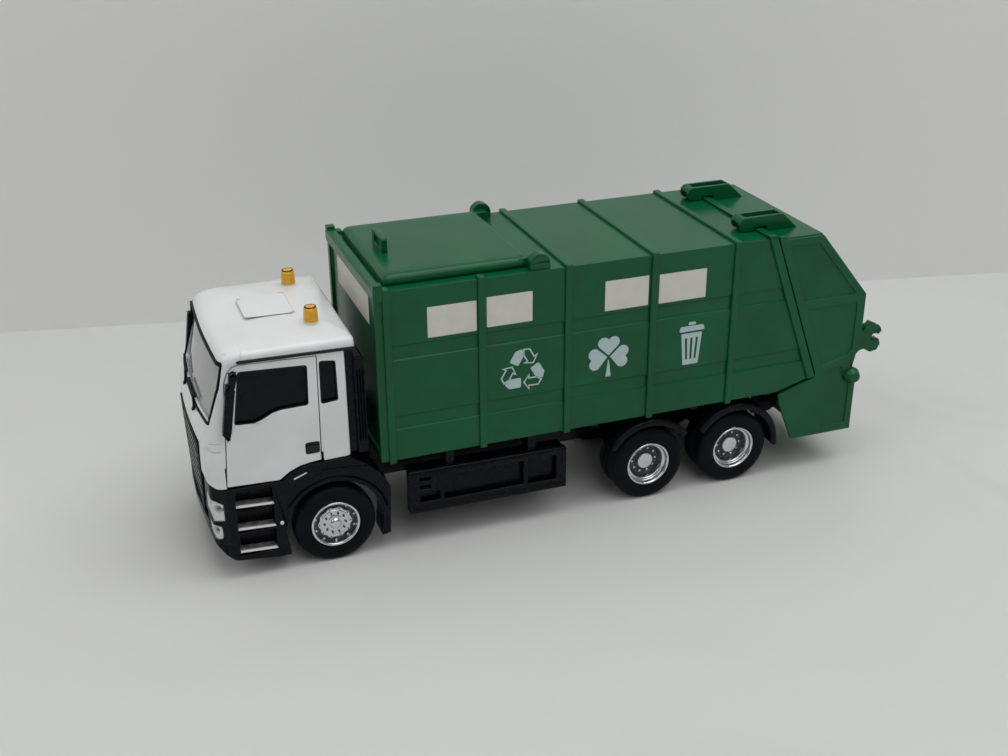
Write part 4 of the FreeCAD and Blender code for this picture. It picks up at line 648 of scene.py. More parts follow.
for side, sign in (("left", 1), ("right", -1)):
    low, high = across(sign, PANE_FACE - 0.7, PANE_FACE)
    pane = plate("side", grown(softened(DOOR_WINDOW, 1.4), 0.8), low, high, "door_pane_" + side)
    broken_edges(pane, 0.1)
    fitted(pane, smoked, "door_" + side, ("door_glass_" + side,))
quarters = joined("quarter_panes", both("side", grown(softened(QUARTER_WINDOW, 1.2), 0.7), PANE_FACE - 0.7,
                                        PANE_FACE))
fitted(broken_edges(quarters, 0.1), smoked, "truck", ("quarter_windows",))
# black seals line the openings, flush with the skin
for side, sign in (("left", 1), ("right", -1)):
    seal = plate("side", grown(softened(DOOR_WINDOW, 1.4), 0.04), *across(sign, 35.95, 37.3),
                 "door_window_seal_" + side)
    carved(seal, [plate("side", grown(softened(DOOR_WINDOW, 1.4), -0.5), *across(sign, 35, 38))])
    fitted(broken_edges(seal, 0.08), gloss_black, "door_" + side)
    seal = plate("side", grown(softened(QUARTER_WINDOW, 1.2), 0.04), *across(sign, 35.95, 37.3),
                 "quarter_window_seal_" + side)
    carved(seal, [plate("side", grown(softened(QUARTER_WINDOW, 1.2), -0.5), *across(sign, 35, 38))])
    fitted(broken_edges(seal, 0.08), gloss_black, "truck")
moulding("rear_window_pane", smoked, 0.1)

# clear styrene, a little milky from age, with soft flow waves 15 mm long
clear, tree, place = blank_material("clear_styrene")
flow = add(tree, "ShaderNodeTexNoise", {"Vector": place, "Scale": 70.0, "Detail": 2.0})
wave = add(tree, "ShaderNodeBump", {"Strength": 0.06, "Distance": 0.0004, "Height": flow.outputs["Fac"]})
tone = add(tree, "ShaderNodeValToRGB", {"Fac": flow.outputs["Fac"]})
tone.color_ramp.elements[0].color = linear("#b4b5b5")
tone.color_ramp.elements[1].color = linear("#c4c5c4")
skin = add(tree, "ShaderNodeBsdfPrincipled", {"Base Color": tone.outputs["Color"], "IOR": 1.59,
                                              "Roughness": 0.04, "Transmission Weight": 0.35,
                                              "Normal": wave.outputs["Normal"]})
add(tree, "ShaderNodeOutputMaterial", {"Surface": skin.outputs["BSDF"]})


# the screen leans back over its height and bows back towards its ends
SCREEN_FOOT, SCREEN_RISE, SCREEN_LEAN = 69.5, 26.5, 6.5
SCREEN_BOW, SCREEN_BOW_AT, SCREEN_BOW_POWER = 2.2, 33.0, 2.4


def screen_strip(title, columns, rows, front, depth):
    """Part of the curved screen: columns are x, rows are heights, front is its face at the middle."""
    verts, faces = [], []
    for layer in (0, depth):
        for z in rows:
            for x in columns:
                lean = (z - SCREEN_FOOT) / SCREEN_RISE * SCREEN_LEAN
                bow = SCREEN_BOW * (abs(x) / SCREEN_BOW_AT) ** SCREEN_BOW_POWER
                verts.append(at(x, front + layer + lean + bow, z))
    wide, tall = len(columns), len(rows)
    for layer in (0, wide * tall):
        for r in range(tall - 1):
            for c in range(wide - 1):
                a = layer + r * wide + c
                faces.append((a, a + 1, a + wide + 1, a + wide))
    rim = (list(range(wide)) + [r * wide + wide - 1 for r in range(1, tall)]
           + [(tall - 1) * wide + c for c in range(wide - 2, -1, -1)]
           + [r * wide for r in range(tall - 2, 0, -1)])
    for i, a in enumerate(rim):
        b = rim[(i + 1) % len(rim)]
        faces.append((a, b, b + wide * tall, a + wide * tall))
    return built(title, verts, faces)


screen_rows = [69.6 + 27.0 * r / 12 for r in range(13)]
screen_columns = [-35.7 + 71.4 * c / 24 for c in range(25)]
screen = screen_strip("windscreen_pane", screen_columns, screen_rows, -47.7, 0.8)
fitted(broken_edges(screen, 0), clear, "truck", ("windscreen",))
# a black rubber-like frame lines the opening, wide along the top, and a cowl strip runs below
SEALS = [
    [(-34.4, 70.5), (-16, 69.2), (16, 69.2), (34.4, 70.5), (34.7, 71.6), (16, 70.4), (-16, 70.4),
     (-34.7, 71.6)],
    [(-35.4, 94.8), (-16, 95.3), (16, 95.3), (35.4, 94.8), (35.7, 96.5), (16, 97.1), (-16, 97.1),
     (-35.7, 96.5)],
    [(33.8, 72.2), (34.5, 71.2), (36.0, 86), (35.8, 96), (35.2, 96), (35.3, 86)],
    [(-33.8, 72.2), (-35.3, 86), (-35.2, 96), (-35.8, 96), (-36.0, 86), (-34.5, 71.2)]]
seals = []
for outline in SEALS:
    seal = carved(cab_form("seal_outer", -0.2), [cab_form("seal_core", 0.3)])
    seals.append(carved(seal, [plate("front", softened(outline, 0.4, 2), -60, -37)], "INTERSECT"))
finished("windscreen_frame", seals, vinyl, "truck", width=0.08)
# two wipers lie along the foot of the screen: arm, bridge and blade
wipers = []
for pivot, tip in ((-13.5, -30.5), (12.5, -7.5)):
    middle = (pivot + tip) / 2
    arm = carved(cab_form("arm_outer", -0.9), [cab_form("arm_core", -0.25)])
    carved(arm, [plate("front", [(pivot - 0.6, 68.6), (pivot + 0.8, 68.6), (middle + 0.5, 73.4),
                                 (middle - 0.5, 73.0)], -60, -40)], "INTERSECT")
    blade = carved(cab_form("blade_outer", -0.75), [cab_form("blade_core", 0.2)])
    lift = 1.0 if abs(tip) > 20 else 0.0
    carved(blade, [plate("front", [(pivot - 1.5, 72.1), (pivot - 1.5, 73.0), (tip, 73.2 + lift),
                                   (tip, 72.3 + lift)], -60, -40)], "INTERSECT")
    boss = carved(cab_form("boss_outer", -0.95), [cab_form("boss_core", 0.2)])
    carved(boss, [plate("front", softened(oblong(pivot - 1.1, 67.6, pivot + 1.1, 69.7),
                                          0.8, 3), -60, -40)], "INTERSECT")
    wipers += [arm, blade, boss]
finished("wiper_arms_and_blades", wipers, vinyl, "truck", ("wipers",), width=0.1)

# ---- Roof: hatch, shadow-gap strips and beacons --------------------------------------------
# The hatch is a pad of the roof casting inside a fine groove. A black strip along each side is painted shade
# of the gap under the roof's overhang.
# The beacons are see-through amber styrene cups on white feet, with a dark bulb holder inside.
moulding("roof_hatch", enamel, 0.4, 3)
# black strips along the roof's edge above the doors: painted shade of the gap under the overhang
shadow_gap_strips = broken_pair("side", [(-33.6, 95.9), (12.2, 95.0), (12.7, 95.3), (12.6, 96.2), (-33.4, 97.2),
                               (-34.2, 96.6)], 37.3, 38.1, 0.15)
finished("roof_shadow_gap_strips", shadow_gap_strips, gloss_black, "truck")
amber, tree, place = blank_material("amber_styrene")
flow = add(tree, "ShaderNodeTexNoise", {"Vector": place, "Scale": 320.0, "Detail": 2.0})
tone = add(tree, "ShaderNodeValToRGB", {"Fac": flow.outputs["Fac"]})
tone.color_ramp.elements[0].color = linear("#f0ac10")
tone.color_ramp.elements[1].color = linear("#ffc832")
skin = add(tree, "ShaderNodeBsdfPrincipled", {"Base Color": tone.outputs["Color"], "IOR": 1.59,
                                              "Roughness": 0.12, "Transmission Weight": 0.1, "Alpha": 0.82})
add(tree, "ShaderNodeOutputMaterial", {"Surface": skin.outputs["BSDF"]})


def upright(title, profile, x, y, steps=40):
    """A lathe piece about an upright line: profile is (radius, height)."""
    piece = turned(title, [(h, r) for r, h in profile], (0, 0), steps, closed=True)
    turn = Matrix.Translation(at(x, y, 0)) @ Matrix.Rotation(math.radians(-90), 4, "Y")
    piece.data.transform(turn @ Matrix.Translation((0, -STATION, 0)))
    return piece


feet, cups, bulbs = [], [], []
for x in (22, -22):
    feet.append(upright("foot", [(0.01, 101.9), (3.0, 101.9), (3.0, 102.7), (2.7, 103.1), (0.01, 103.1)], x,
                        -1))
    for side in (1, -1):
        feet.append(plate("plan", oblong(x + side * 2.6, -1.7, x + side * 3.0, -0.3), 102.2, 102.9))
    cups.append(upright("cup", [(2.3, 103.2), (2.95, 103.2), (2.95, 104.0), (2.75, 107.6), (2.65, 108.3),
                                (2.5, 108.4), (2.4, 108.9), (2.0, 109.2), (0.01, 109.2), (0.01, 108.5),
                                (1.7, 108.5), (2.1, 108.0), (2.3, 104.2)], x, -1))
    bulbs.append(upright("bulb", [(0.01, 103.1), (1.5, 103.1), (1.5, 104.2), (0.8, 104.6), (0.8, 106.2),
                                  (0.4, 106.8), (0.01, 106.8)], x, -1))
finished("beacon_feet", feet, enamel, "truck")
rings = [upright("ring", [(1.9, 108.95), (2.44, 108.95), (2.3, 109.2), (1.9, 109.2)], x, -1)
         for x in (22, -22)]
finished("beacon_rings", rings, satin_black, "truck")
finished("beacon_cups", cups, amber, "truck", ("beacons",))
finished("beacon_bulbs", bulbs, satin_black, "truck")

# ---- Grille --------------------------------------------------------------------------------
# A soft black ABS insert in the nose: narrow slots between slats, each slat with a strip of
# bright hot-stamped foil along its front edge. The panel above the slots is plain.
moulding("grille", vinyl, 0.3, 3)
foils = []
for n in range(6):
    height = 31.3 + 4.4 * n
    face = -50.4 - 0.6 * (height - 24) / 34.6
    foils.append(plate("front", softened(oblong(-17.2, height - 0.2, 17.2, height + 0.2), 0.1, 2),
                       face - 0.12, face + 0.1))
finished("slat_foils", foils, chrome, "truck", width=0.05)

# ---- Bumper --------------------------------------------------------------------------------
# The lower nose is one satin black moulding that wraps round both corners, with lamp bays in
# front and three step wells in each side. Its foot slopes up to the front.
BUMPER_HALF = 38.2
BUMPER_SIDE = [(-51.4, 21), (-48, 15), (-45.4, 11.6), (-41.6, 9.1), (-23.3, 7), (-23.3, 42.2),
               (-42.8, 42.3), (-46.4, 42.4), (-51.4, 46.4)]
BUMPER_PLAN = [(-38.1, -18), (-38.1, -43.2), (-33.9, -49.1), (-18.75, -50.6), (0, -51.4), (18.75, -50.6),
               (33.9, -49.1), (38.1, -43.2), (38.1, -18)]
LAMP = [(23.6, 29.2), (33, 26.8), (38.4, 28.2), (38.4, 34.2), (35, 36.2), (24.6, 39.3)]
FOG = [(26.2, 19.6), (34.9, 18.6), (36.8, 22), (35.8, 24.8), (25.6, 26.2)]
# foot, head and tread height of each step well
STEPS = [(11.0, 21.0, 12.4), (21.7, 32.0, 23.0), (32.4, 40.6, 33.4)]


def bumper_form(title, inset=0.0):
    """The bumper's outer form as a solid, set back by an amount."""
    half = BUMPER_HALF - inset
    form = plate("side", grown(softened(BUMPER_SIDE, 1.6), -inset), -half, half, title)
    return carved(form, [plate("plan", grown(softened(BUMPER_PLAN, 3.2, 8), -inset), 0, 60)], "INTERSECT")


def mirrored_outline(outline):
    """The outline on the other side of the truck's middle."""
    return [(-u, v) for u, v in outline]


bumper = bumper_form("bumper_moulding")
cuts = [plate("plan", oblong(-28, -46.8, 28, -10), 0, 60),
        plate("front", oblong(-26, 23.6, 26, 60), -60, -44)]
for outline, rear in ((grown(softened(LAMP, 0.9), 0.25), -44.4), (grown(softened(FOG, 0.9), 0.25), -45.6)):
    cuts += [plate("front", outline, -60, rear), plate("front", mirrored_outline(outline), -60, rear)]
for foot, head, tread in STEPS:
    cuts += both("side", softened([(-40.2, foot), (-24.9, foot), (-24.9, head), (-39.4, head)], 0.8), 32.6,
                 45)
carved_in_turn(bumper, cuts)
broken_edges(bumper, 0.45, 3, 36)
# a pressed line runs round the bumper under the lamps
lip = carved(bumper_form("lip_outer"), [bumper_form("lip_core", 0.35)])
carved(lip, [plate("side", [(-60, 17.2), (-42, 15.8), (-42, 16.1), (-60, 17.5)], -45, 45)], "INTERSECT")
carved(bumper, [lip])
fitted(broken_edges(bumper, 0), satin_black, "truck", ("bumper",))

# ---- Steps ---------------------------------------------------------------------------------
# Each well has a ribbed tread, coloured a light grey that is partly dust and partly painted highlight of the
# light from above, and a bright metallised edge bar snapped along it.
tread_dust_and_highlight, tree, place = blank_material("tread_dust_and_painted_highlight")
ribs = add(tree, "ShaderNodeTexWave", {"Vector": place, "Scale": 320.0, "Distortion": 0.0},
           bands_direction="Y")
tread_mottle = add(tree, "ShaderNodeTexNoise", {"Vector": place, "Scale": 400.0, "Detail": 4.0})
# the light grey of the upward treads is partly dust and partly painted highlight
tone = add(tree, "ShaderNodeValToRGB", {"Fac": tread_mottle.outputs["Fac"]})
tone.color_ramp.elements[0].position, tone.color_ramp.elements[0].color = 0.35, linear("#58585c")
tone.color_ramp.elements[1].position, tone.color_ramp.elements[1].color = 0.75, linear("#a39f99")
relief = add(tree, "ShaderNodeBump", {"Strength": 0.5, "Distance": 0.0002, "Height": ribs.outputs["Fac"]})
skin = add(tree, "ShaderNodeBsdfPrincipled", {"Base Color": tone.outputs["Color"], "IOR": 1.54,
                                              "Roughness": 0.5, "Normal": relief.outputs["Normal"]})
add(tree, "ShaderNodeOutputMaterial", {"Surface": skin.outputs["BSDF"]})
# bright foil: hot-stamped aluminium, softer than chrome and drawn in lines along its length
foil, tree, place = blank_material("hot_stamped_foil")
drawn = add(tree, "ShaderNodeMapping", {"Vector": place, "Scale": (900.0, 60.0, 900.0)})
brush = add(tree, "ShaderNodeTexNoise", {"Vector": drawn.outputs["Vector"], "Scale": 1.0, "Detail": 2.0})
tone = add(tree, "ShaderNodeValToRGB", {"Fac": brush.outputs["Fac"]})
tone.color_ramp.elements[0].color = linear("#d6d7d9")
tone.color_ramp.elements[1].color = linear("#f2f2f3")
gloss = add(tree, "ShaderNodeMapRange", {"Value": brush.outputs["Fac"], "To Min": 0.3, "To Max": 0.45})
skin = add(tree, "ShaderNodeBsdfPrincipled", {"Base Color": tone.outputs["Color"], "Metallic": 0.25,
                                              "Roughness": gloss.outputs["Result"]})
add(tree, "ShaderNodeOutputMaterial", {"Surface": skin.outputs["BSDF"]})
bars, treads = [], []
for foot, head, tread in STEPS:
    bar = [(-39.9, tread + 0.1), (-24.7, tread - 0.8), (-24.7, tread + 0.05), (-39.9, tread + 0.95)]
    bars += broken_pair("side", softened(bar, 0.42), 36.9, 38.25, 0.28, 3)
    slab = [(-40.1, tread - 0.5), (-25.0, tread - 1.4), (-25.0, tread - 0.3), (-40.1, tread + 0.6)]
    treads += broken_pair("side", slab, 32.8, 37.2, 0.1)
finished("step_edge_bars", bars, foil, "truck", ("step_treads",))
finished("step_tread_slabs", treads, tread_dust_and_highlight, "truck")


# ---- Headlamps and fog lamps ---------------------------------------------------------------
# Clear lenses follow the bumper's corner. Behind each lies a metallised reflector block with two
# bowls in the headlamp and one in the fog lamp, each round a dark bulb.
def aimed(title, profile, point, direction, steps=32):
    """A lathe piece that points from a point in a direction: profile is (distance, radius)."""
    piece = turned(title, profile, (0, 0), steps, closed=True)
    turn = Vector(direction).to_track_quat("X", "Z").to_matrix().to_4x4()
    piece.data.transform(Matrix.Translation(at(*point)) @ turn @ Matrix.Translation((0, -STATION, 0)))
    return piece


lens, tree, place = blank_material("lamp_clear_styrene")
flutes = add(tree, "ShaderNodeTexWave", {"Vector": place, "Scale": 260.0, "Distortion": 0.4},
             bands_direction="X")
wave = add(tree, "ShaderNodeBump", {"Strength": 0.06, "Distance": 0.0001, "Height": flutes.outputs["Fac"]})
haze = add(tree, "ShaderNodeTexNoise", {"Vector": place, "Scale": 200.0})
tone = add(tree, "ShaderNodeValToRGB", {"Fac": haze.outputs["Fac"]})
tone.color_ramp.elements[0].color = linear("#e3e6e8")
tone.color_ramp.elements[1].color = linear("#f4f6f7")
skin = add(tree, "ShaderNodeBsdfPrincipled", {"Base Color": tone.outputs["Color"], "IOR": 1.5,
                                              "Roughness": 0.04, "Alpha": 0.1,
                                              "Normal": wave.outputs["Normal"]})
add(tree, "ShaderNodeOutputMaterial", {"Surface": skin.outputs["BSDF"]})
# name, node, face, depth, bowls as (mouth, radius, way it faces)
LAMPS = [("headlamp", "headlamps", LAMP, -44.6, (((35.2, -47.1, 32.9), 1.9, (0.81, -0.58, 0.1)),
                                                 ((36.5, -45.2, 33.0), 0.9, (0.9, -0.4, 0.1)),
                                                 ((29.0, -49.2, 33.0), 2.7, (0.3, -1, 0.1)))),
         ("fog_lamp", "fog_lamps", FOG, -45.8, (((33.6, -48.3, 22.6), 1.9, (0.7, -0.7, 0.1)),))]
for title, node, face, rear, bowls in LAMPS:
    lenses, blocks, centres = [], [], []
    for sign in (1, -1):
        outline = [(sign * u, v) for u, v in softened(face, 0.8)]
        cover = carved(bumper_form("lens", 0.12), [bumper_form("lens_core", 0.6)])
        lenses.append(carved(cover, [plate("front", outline, -60, rear)], "INTERSECT"))
        block = carved(bumper_form("reflector", 0.75), [plate("front", grown(outline, -0.15), -60, rear)],
                       "INTERSECT")
        for spot, radius, facing in bowls:
            lean = Vector((sign * facing[0], facing[1], facing[2])).normalized()
            mouth = (sign * spot[0], spot[1], spot[2])
            carved(block, [aimed("bowl", [(-2.6, 0.001), (-2.5, radius * 0.35), (-1.9, radius * 0.7),
                                          (-0.9, radius * 0.92), (0.4, radius), (4, radius), (4, 0.001)],
                                 mouth, lean)])
            centres.append(aimed("bulb", [(-2.6, 0.001), (-2.6, radius * 0.42), (-1.5, radius * 0.42),
                                          (-1.0, radius * 0.28), (-0.8, 0.001)], mouth, lean, 24))
        blocks.append(block)
    fitted(broken_edges(joined(title + "_lenses", lenses), 0.15), lens, "truck", (node,))
    finished(title + "_reflectors", blocks, foil, "truck", width=0.12)
    finished(title + "_bulbs", centres, gloss_black, "truck")

# ---- Wings over the front wheels -----------------------------------------------------------
# Satin black mouldings with a rolled arch edge and a shelf that runs back under the cab, ending in
# a tapered flap. A bright dash and a bright stud are snapped into each.
WING = [(-24.8, 7.2), (-24.8, 42.0), (-20.8, 42.0), (-17, 45.1), (-12.6, 46.8), (-8.6, 47.5), (7.6, 47.9),
        (13.6, 44.0), (19.6, 38.4), (24.2, 30.6), (23.2, 8.6), (20.8, 7.9), (12, 7.2)]
wings = []
for sign in (1, -1):
    low, high = across(sign, 26.6, 38.08)
    wing = plate("side", softened(WING, 0.7), low, high)
    tunnel = turned("tunnel", [(sign * v, r) for v, r in ((25, 0.001), (25, 20.4), (45, 20.4), (45, 0.001))],
                    (0, AXLE_HEIGHT), 96, closed=True)
    carved(wing, [tunnel])
    carved(wing, [plate("side", [(-18.4, 0), (18.8, 0), (20.3, 17.3), (-20.3, 17.3)], *across(sign, 25, 45))])
    # the skin falls back between the rolled arch edge and a shelf under the cab
    ring = [(sign * v, r) for v, r in ((37.7, 22.4), (37.7, 22.9), (45, 22.9), (45, 22.4))]
    groove = turned("groove", ring, (0, AXLE_HEIGHT), 96, closed=True)
    carved(groove, [plate("side", oblong(-19, 22, 30, 60), *across(sign, 30, 50))], "INTERSECT")
    carved(wing, [groove])
    carved(wing, [plate("side", [(-4, 43.6), (14.1, 42.2), (13.8, 42.7), (-4, 44.1)],
                        *across(sign, 37.9, 45))])
    wings.append(wing)
finished("front_wing_mouldings", wings, satin_black, "truck", ("front_wings",), width=0.4,
         segments=3, angle=36)
brights = []
for sign in (1, -1):
    dash = [(-16.0, 42.0), (-10.5, 44.1), (-10.5, 44.6), (-16.0, 42.6)]
    brights.append(broken_edges(plate("side", softened(dash, 0.2, 2), *across(sign, 38.2, 38.55)), 0.06))
    brights.append(aimed("stud", [(-0.2, 0.001), (-0.2, 0.85), (0.25, 0.8), (0.45, 0.55), (0.5, 0.001)],
                         (sign * 38.3, -22.2, 23.2), (sign, 0, 0), 24))
finished("wing_brights", brights, foil, "truck")

# ---- Inside the cab ------------------------------------------------------------------------
# Floor, seats and dashboard are grained charcoal ABS, and the seats have headrests and piped
# cushions. The steering wheel is clipped on a sloping column.
charcoal, tree, place = blank_material("grained_charcoal_ABS")
leather = add(tree, "ShaderNodeTexVoronoi", {"Vector": place, "Scale": 1500.0})
shade = add(tree, "ShaderNodeTexNoise", {"Vector": place, "Scale": 80.0, "Detail": 3.0})
tone = add(tree, "ShaderNodeValToRGB", {"Fac": shade.outputs["Fac"]})
tone.color_ramp.elements[0].color = linear("#1b1c20")
tone.color_ramp.elements[1].color = linear("#2f3137")
relief = add(tree, "ShaderNodeBump", {"Strength": 0.3, "Distance": 0.00008,
                                      "Height": leather.outputs["Distance"]})
skin = add(tree, "ShaderNodeBsdfPrincipled", {"Base Color": tone.outputs["Color"], "IOR": 1.54,
                                              "Roughness": 0.55, "Specular IOR Level": 0.35,
                                              "Normal": relief.outputs["Normal"]})
add(tree, "ShaderNodeOutputMaterial", {"Surface": skin.outputs["BSDF"]})
for node, width in (("cab_floor", 0.25), ("dashboard", 0.5), ("steering_wheel", 0.25)):
    moulding(node, charcoal, width, 3)
seats = []
for x in (-17, 17):
    for side in (-4.2, 4.2):
        cushion = plate("plan", softened(oblong(x + side - 3.7, -17.8, x + side + 3.7, -2.2), 1.2), 57.2, 60)
        squab = plate("front", softened([(x + side - 3.5, 60), (x + side + 3.5, 60), (x + side + 3.2, 79.5),
                                         (x + side - 3.2, 79.5)], 1.2), -3.6, -0.9)
        lean = Matrix.Translation(at(x, -2.4, 60)) @ Matrix.Rotation(math.radians(-5), 4, "X")
        squab.data.transform(lean @ Matrix.Translation(-at(x, -2.4, 60)))
        seats += [broken_edges(cushion, 0.7, 3), broken_edges(squab, 0.7, 3)]
    base = plate("plan", softened(oblong(x - 7.9, -17.6, x + 7.9, -2.1), 1.0), 50.1, 57.6)
    back = plate("side", softened([(-3.4, 58), (-1.6, 58), (0.5, 80), (-1.2, 80)], 0.5), x - 7.3, x + 7.3)
    rest = plate("front", softened([(x - 4.2, 80.6), (x + 4.2, 80.6), (x + 3.6, 85.8), (x - 3.6, 85.8)],
                                   1.2), -1.6, 1.0)
    posts = [plate("front", oblong(x + p - 0.35, 79, x + p + 0.35, 81.4), -0.7, 0.1) for p in (-2, 2)]
    seats += [broken_edges(base, 0.5, 3), broken_edges(back, 0.4), broken_edges(rest, 0.8, 3)] + posts
finished("seat_pair", seats, charcoal, "truck", ("seats",))

# ---- Air intake behind the cab -------------------------------------------------------------
# A satin black wall closes the gap to the body, and a tall scoop with upright louvres stands at
# each of its edges.
wall = plate("front", softened(oblong(-36, 48.4, 36, 95.4), 1.0), 8.6, 11.9)
carved(wall, [plate("front", oblong(-21, 52, 21, 92), 8, 10.4)])
scoops = []
for sign in (1, -1):
    low, high = across(sign, 24.0, 37.45)
    scoop = plate("side", softened([(11.6, 48.6), (15.9, 48.6), (15.9, 90.6), (14.4, 91.9), (11.6, 91.9)],
                                   0.5), low, high)
    for n in range(3):
        slot = oblong(12.5 + 1.1 * n, 54, 13.0 + 1.1 * n, 86)
        carved(scoop, [plate("side", slot, *across(sign, 36.7, 45))])
    for n in range(5):
        middle = sign * (26.2 + 2.3 * n)
        carved(scoop, [plate("front", oblong(middle - 0.5, 58, middle + 0.5, 88), 15.2, 20)])
    scoops.append(scoop)
finished("intake_wall_and_scoops", [wall] + scoops, satin_black, "truck",
         ("rear_air_intake",), width=0.3, segments=3)

# ---- Mudguards over the rear wheels --------------------------------------------------------
# Four bent black mouldings with a thick rolled outer lip. Posts under the body's sills carry
# them, and the rearmost pair ends in a short flap.
LIP = [(21.0, 20.8), (37.2, 20.8), (37.4, 20.0), (37.7, 19.5), (38.2, 19.4), (38.7, 19.6), (38.95, 20.2),
       (38.98, 21.4), (38.7, 22.2), (38.1, 22.55), (21.0, 22.6)]


def arched(title, section, centre, start, stop, steps=44):
    """A section of (x, radius) points carried round a centre from one angle to another, in degrees."""
    count = len(section)
    verts = []
    for step in range(steps + 1):
        angle = math.radians(start + (stop - start) * step / steps)
        verts += [at(x, centre[0] + r * math.cos(angle), centre[1] + r * math.sin(angle)) for x, r in section]
    faces = [tuple(range(count)), tuple(range(steps * count, (steps + 1) * count))]
    for step in range(steps):
        a, b = step * count, (step + 1) * count
        faces += [(a + i, a + (i + 1) % count, b + (i + 1) % count, b + i) for i in range(count)]
    return built(title, verts, faces)


guards = []
for along, start, stop in ((MIDDLE_AXLE, 34.2, 148.8), (REAR_AXLE, -3.4, 145.6)):
    for sign in (1, -1):
        section = [(sign * x, r) for x, r in LIP]
        guards.append(broken_edges(arched("mudguard", section, (along, AXLE_HEIGHT), start, stop), 0.3, 3,
                                   60))
        post = softened(oblong(sign * 22.4, 38.8, sign * 26, 43.4), 0.3, 2)
        guards.append(broken_edges(plate("front", post, along - 2.9, along + 2.9), 0.2))
flap = softened([(207.3, 18.2), (207.3, 15.4), (208.9, 15.4), (209.1, 18.2)], 0.3, 2)
guards += broken_pair("side", flap, 21.2, 38.9, 0.3)
# brackets on the ends of the frame rails carry the rearmost pair
gusset = [(205.0, 43.4), (205.0, 24.0), (214.7, 23.8), (218.9, 26.2), (219.6, 43.4)]
guards += broken_pair("side", softened(gusset, 0.6, 2), 19.6, 21.3, 0.3)
finished("rear_mudguards", guards, satin_black, "truck", ("rear_wings",))

# ---- Side guards ---------------------------------------------------------------------------
# A satin black box frame hangs between the axles on each side: a sloping upper rail, windows with
# rounded edges, and a closed panel behind them. Two legs hold it to the frame.
GUARD = [(31.7, 15.2), (103.3, 14.6), (103.3, 34.2), (31.7, 35.2)]
# front, rear, foot, head
WINDOWS = [(36.6, 45.4, 20.2, 24.6), (47.2, 83.2, 19.8, 31.2), (85.4, 98.4, 19.4, 31.0),
           (36.4, 41.4, 26.4, 28.2), (36.4, 41.4, 30.2, 32.0)]
for side, sign in (("left", 1), ("right", -1)):
    frame_box = plate("side", softened(GUARD, 1.1), *across(sign, 34.6, 38.5))
    carved(frame_box, [plate("side", [(33.2, 16.8), (101.8, 16.2), (101.8, 32.6), (33.2, 33.4)],
                             *across(sign, 28, 36.9))])
    for front, rear, foot, head in WINDOWS:
        window = softened([(front, foot), (rear, foot - 0.1), (rear, head - 0.1), (front, head)], 0.5, 2)
        carved(frame_box, [plate("side", window, *across(sign, 28, 45))])
    # the upper rail is chamfered towards the light, the lower rail has a pressed line
    chamfer = plate("front", [(sign * 38.5 - sign * 1.3, 37), (sign * 42, 37), (sign * 42, 29),
                              (sign * 38.52, 32.6)], 30, 106)
    carved(frame_box, [chamfer])
    carved(frame_box, [plate("side", [(33.6, 17.6), (101.6, 17.0), (101.6, 17.3), (33.6, 17.9)],
                             *across(sign, 38.2, 45))])
    panel = plate("side", [(32.6, 16.6), (102.4, 16.0), (102.4, 33.2), (32.6, 34.2)],
                  *across(sign, 34.7, 35.5))
    legs = [broken_edges(plate("front", softened(oblong(sign * 29.2, 33.4, sign * 36.0, 35.1), 0.3, 2),
                               y - 1.8, y + 1.8), 0.2) for y in (50.8, 87.9)]
    shelf = plate("side", [(32.4, 33.3), (102.6, 32.3), (102.6, 33.8), (32.4, 34.8)],
                  *across(sign, 29.2, 34.9))
    guard = joined("side_guard_%s_frame" % side, [broken_edges(frame_box, 0.5, 3, 36),
                                                  broken_edges(panel, 0.2), broken_edges(shelf, 0.2)]
                   + legs)
    fitted(broken_edges(guard, 0), satin_black, "truck", ("side_guard_" + side,))

# ---- Refuse body ---------------------------------------------------------------------------
# The load box is a hollow ABS moulding in gloss green: grooved side panels, half-round ribs, a
# header with raised ends in front and a flange along the slanted seam to the tailgate.
green, tree, place = blank_material("gloss_green_ABS")
peel = add(tree, "ShaderNodeTexNoise", {"Vector": place, "Scale": 420.0, "Detail": 1.0})
flow = add(tree, "ShaderNodeTexNoise", {"Vector": place, "Scale": 40.0, "Detail": 5.0})
tone = add(tree, "ShaderNodeValToRGB", {"Fac": flow.outputs["Fac"]})
tone.color_ramp.elements[0].position, tone.color_ramp.elements[0].color = 0.3, linear("#014f2e")
tone.color_ramp.elements[1].position, tone.color_ramp.elements[1].color = 0.75, linear("#045c36")
relief = add(tree, "ShaderNodeBump", {"Strength": 0.12, "Distance": 0.00004, "Height": peel.outputs["Fac"]})
gloss = add(tree, "ShaderNodeMapRange", {"Value": flow.outputs["Fac"], "To Min": 0.2, "To Max": 0.3})
skin = add(tree, "ShaderNodeBsdfPrincipled", {"Base Color": tone.outputs["Color"], "IOR": 1.5,
                                              "Specular IOR Level": 0.3, "Roughness": gloss.outputs["Result"],
                                              "Normal": relief.outputs["Normal"]})
add(tree, "ShaderNodeOutputMaterial", {"Surface": skin.outputs["BSDF"]})

BODY_HALF, BODY_FRONT, BODY_LOW, BODY_TOP, BODY_WALL = 39.0, 20.5, 42.8, 117.6, 1.6
SEAM_FOOT, SEAM_HEAD = (225.6, 48.2), (199.9, 117.6)


def on_seam(z, shift=0.0):
    """The point of the slanted seam at a height, shifted along the truck."""
    lean = (SEAM_FOOT[0] - SEAM_HEAD[0]) / (SEAM_HEAD[1] - SEAM_FOOT[1])
    return (SEAM_FOOT[0] - (z - SEAM_FOOT[1]) * lean + shift, z)


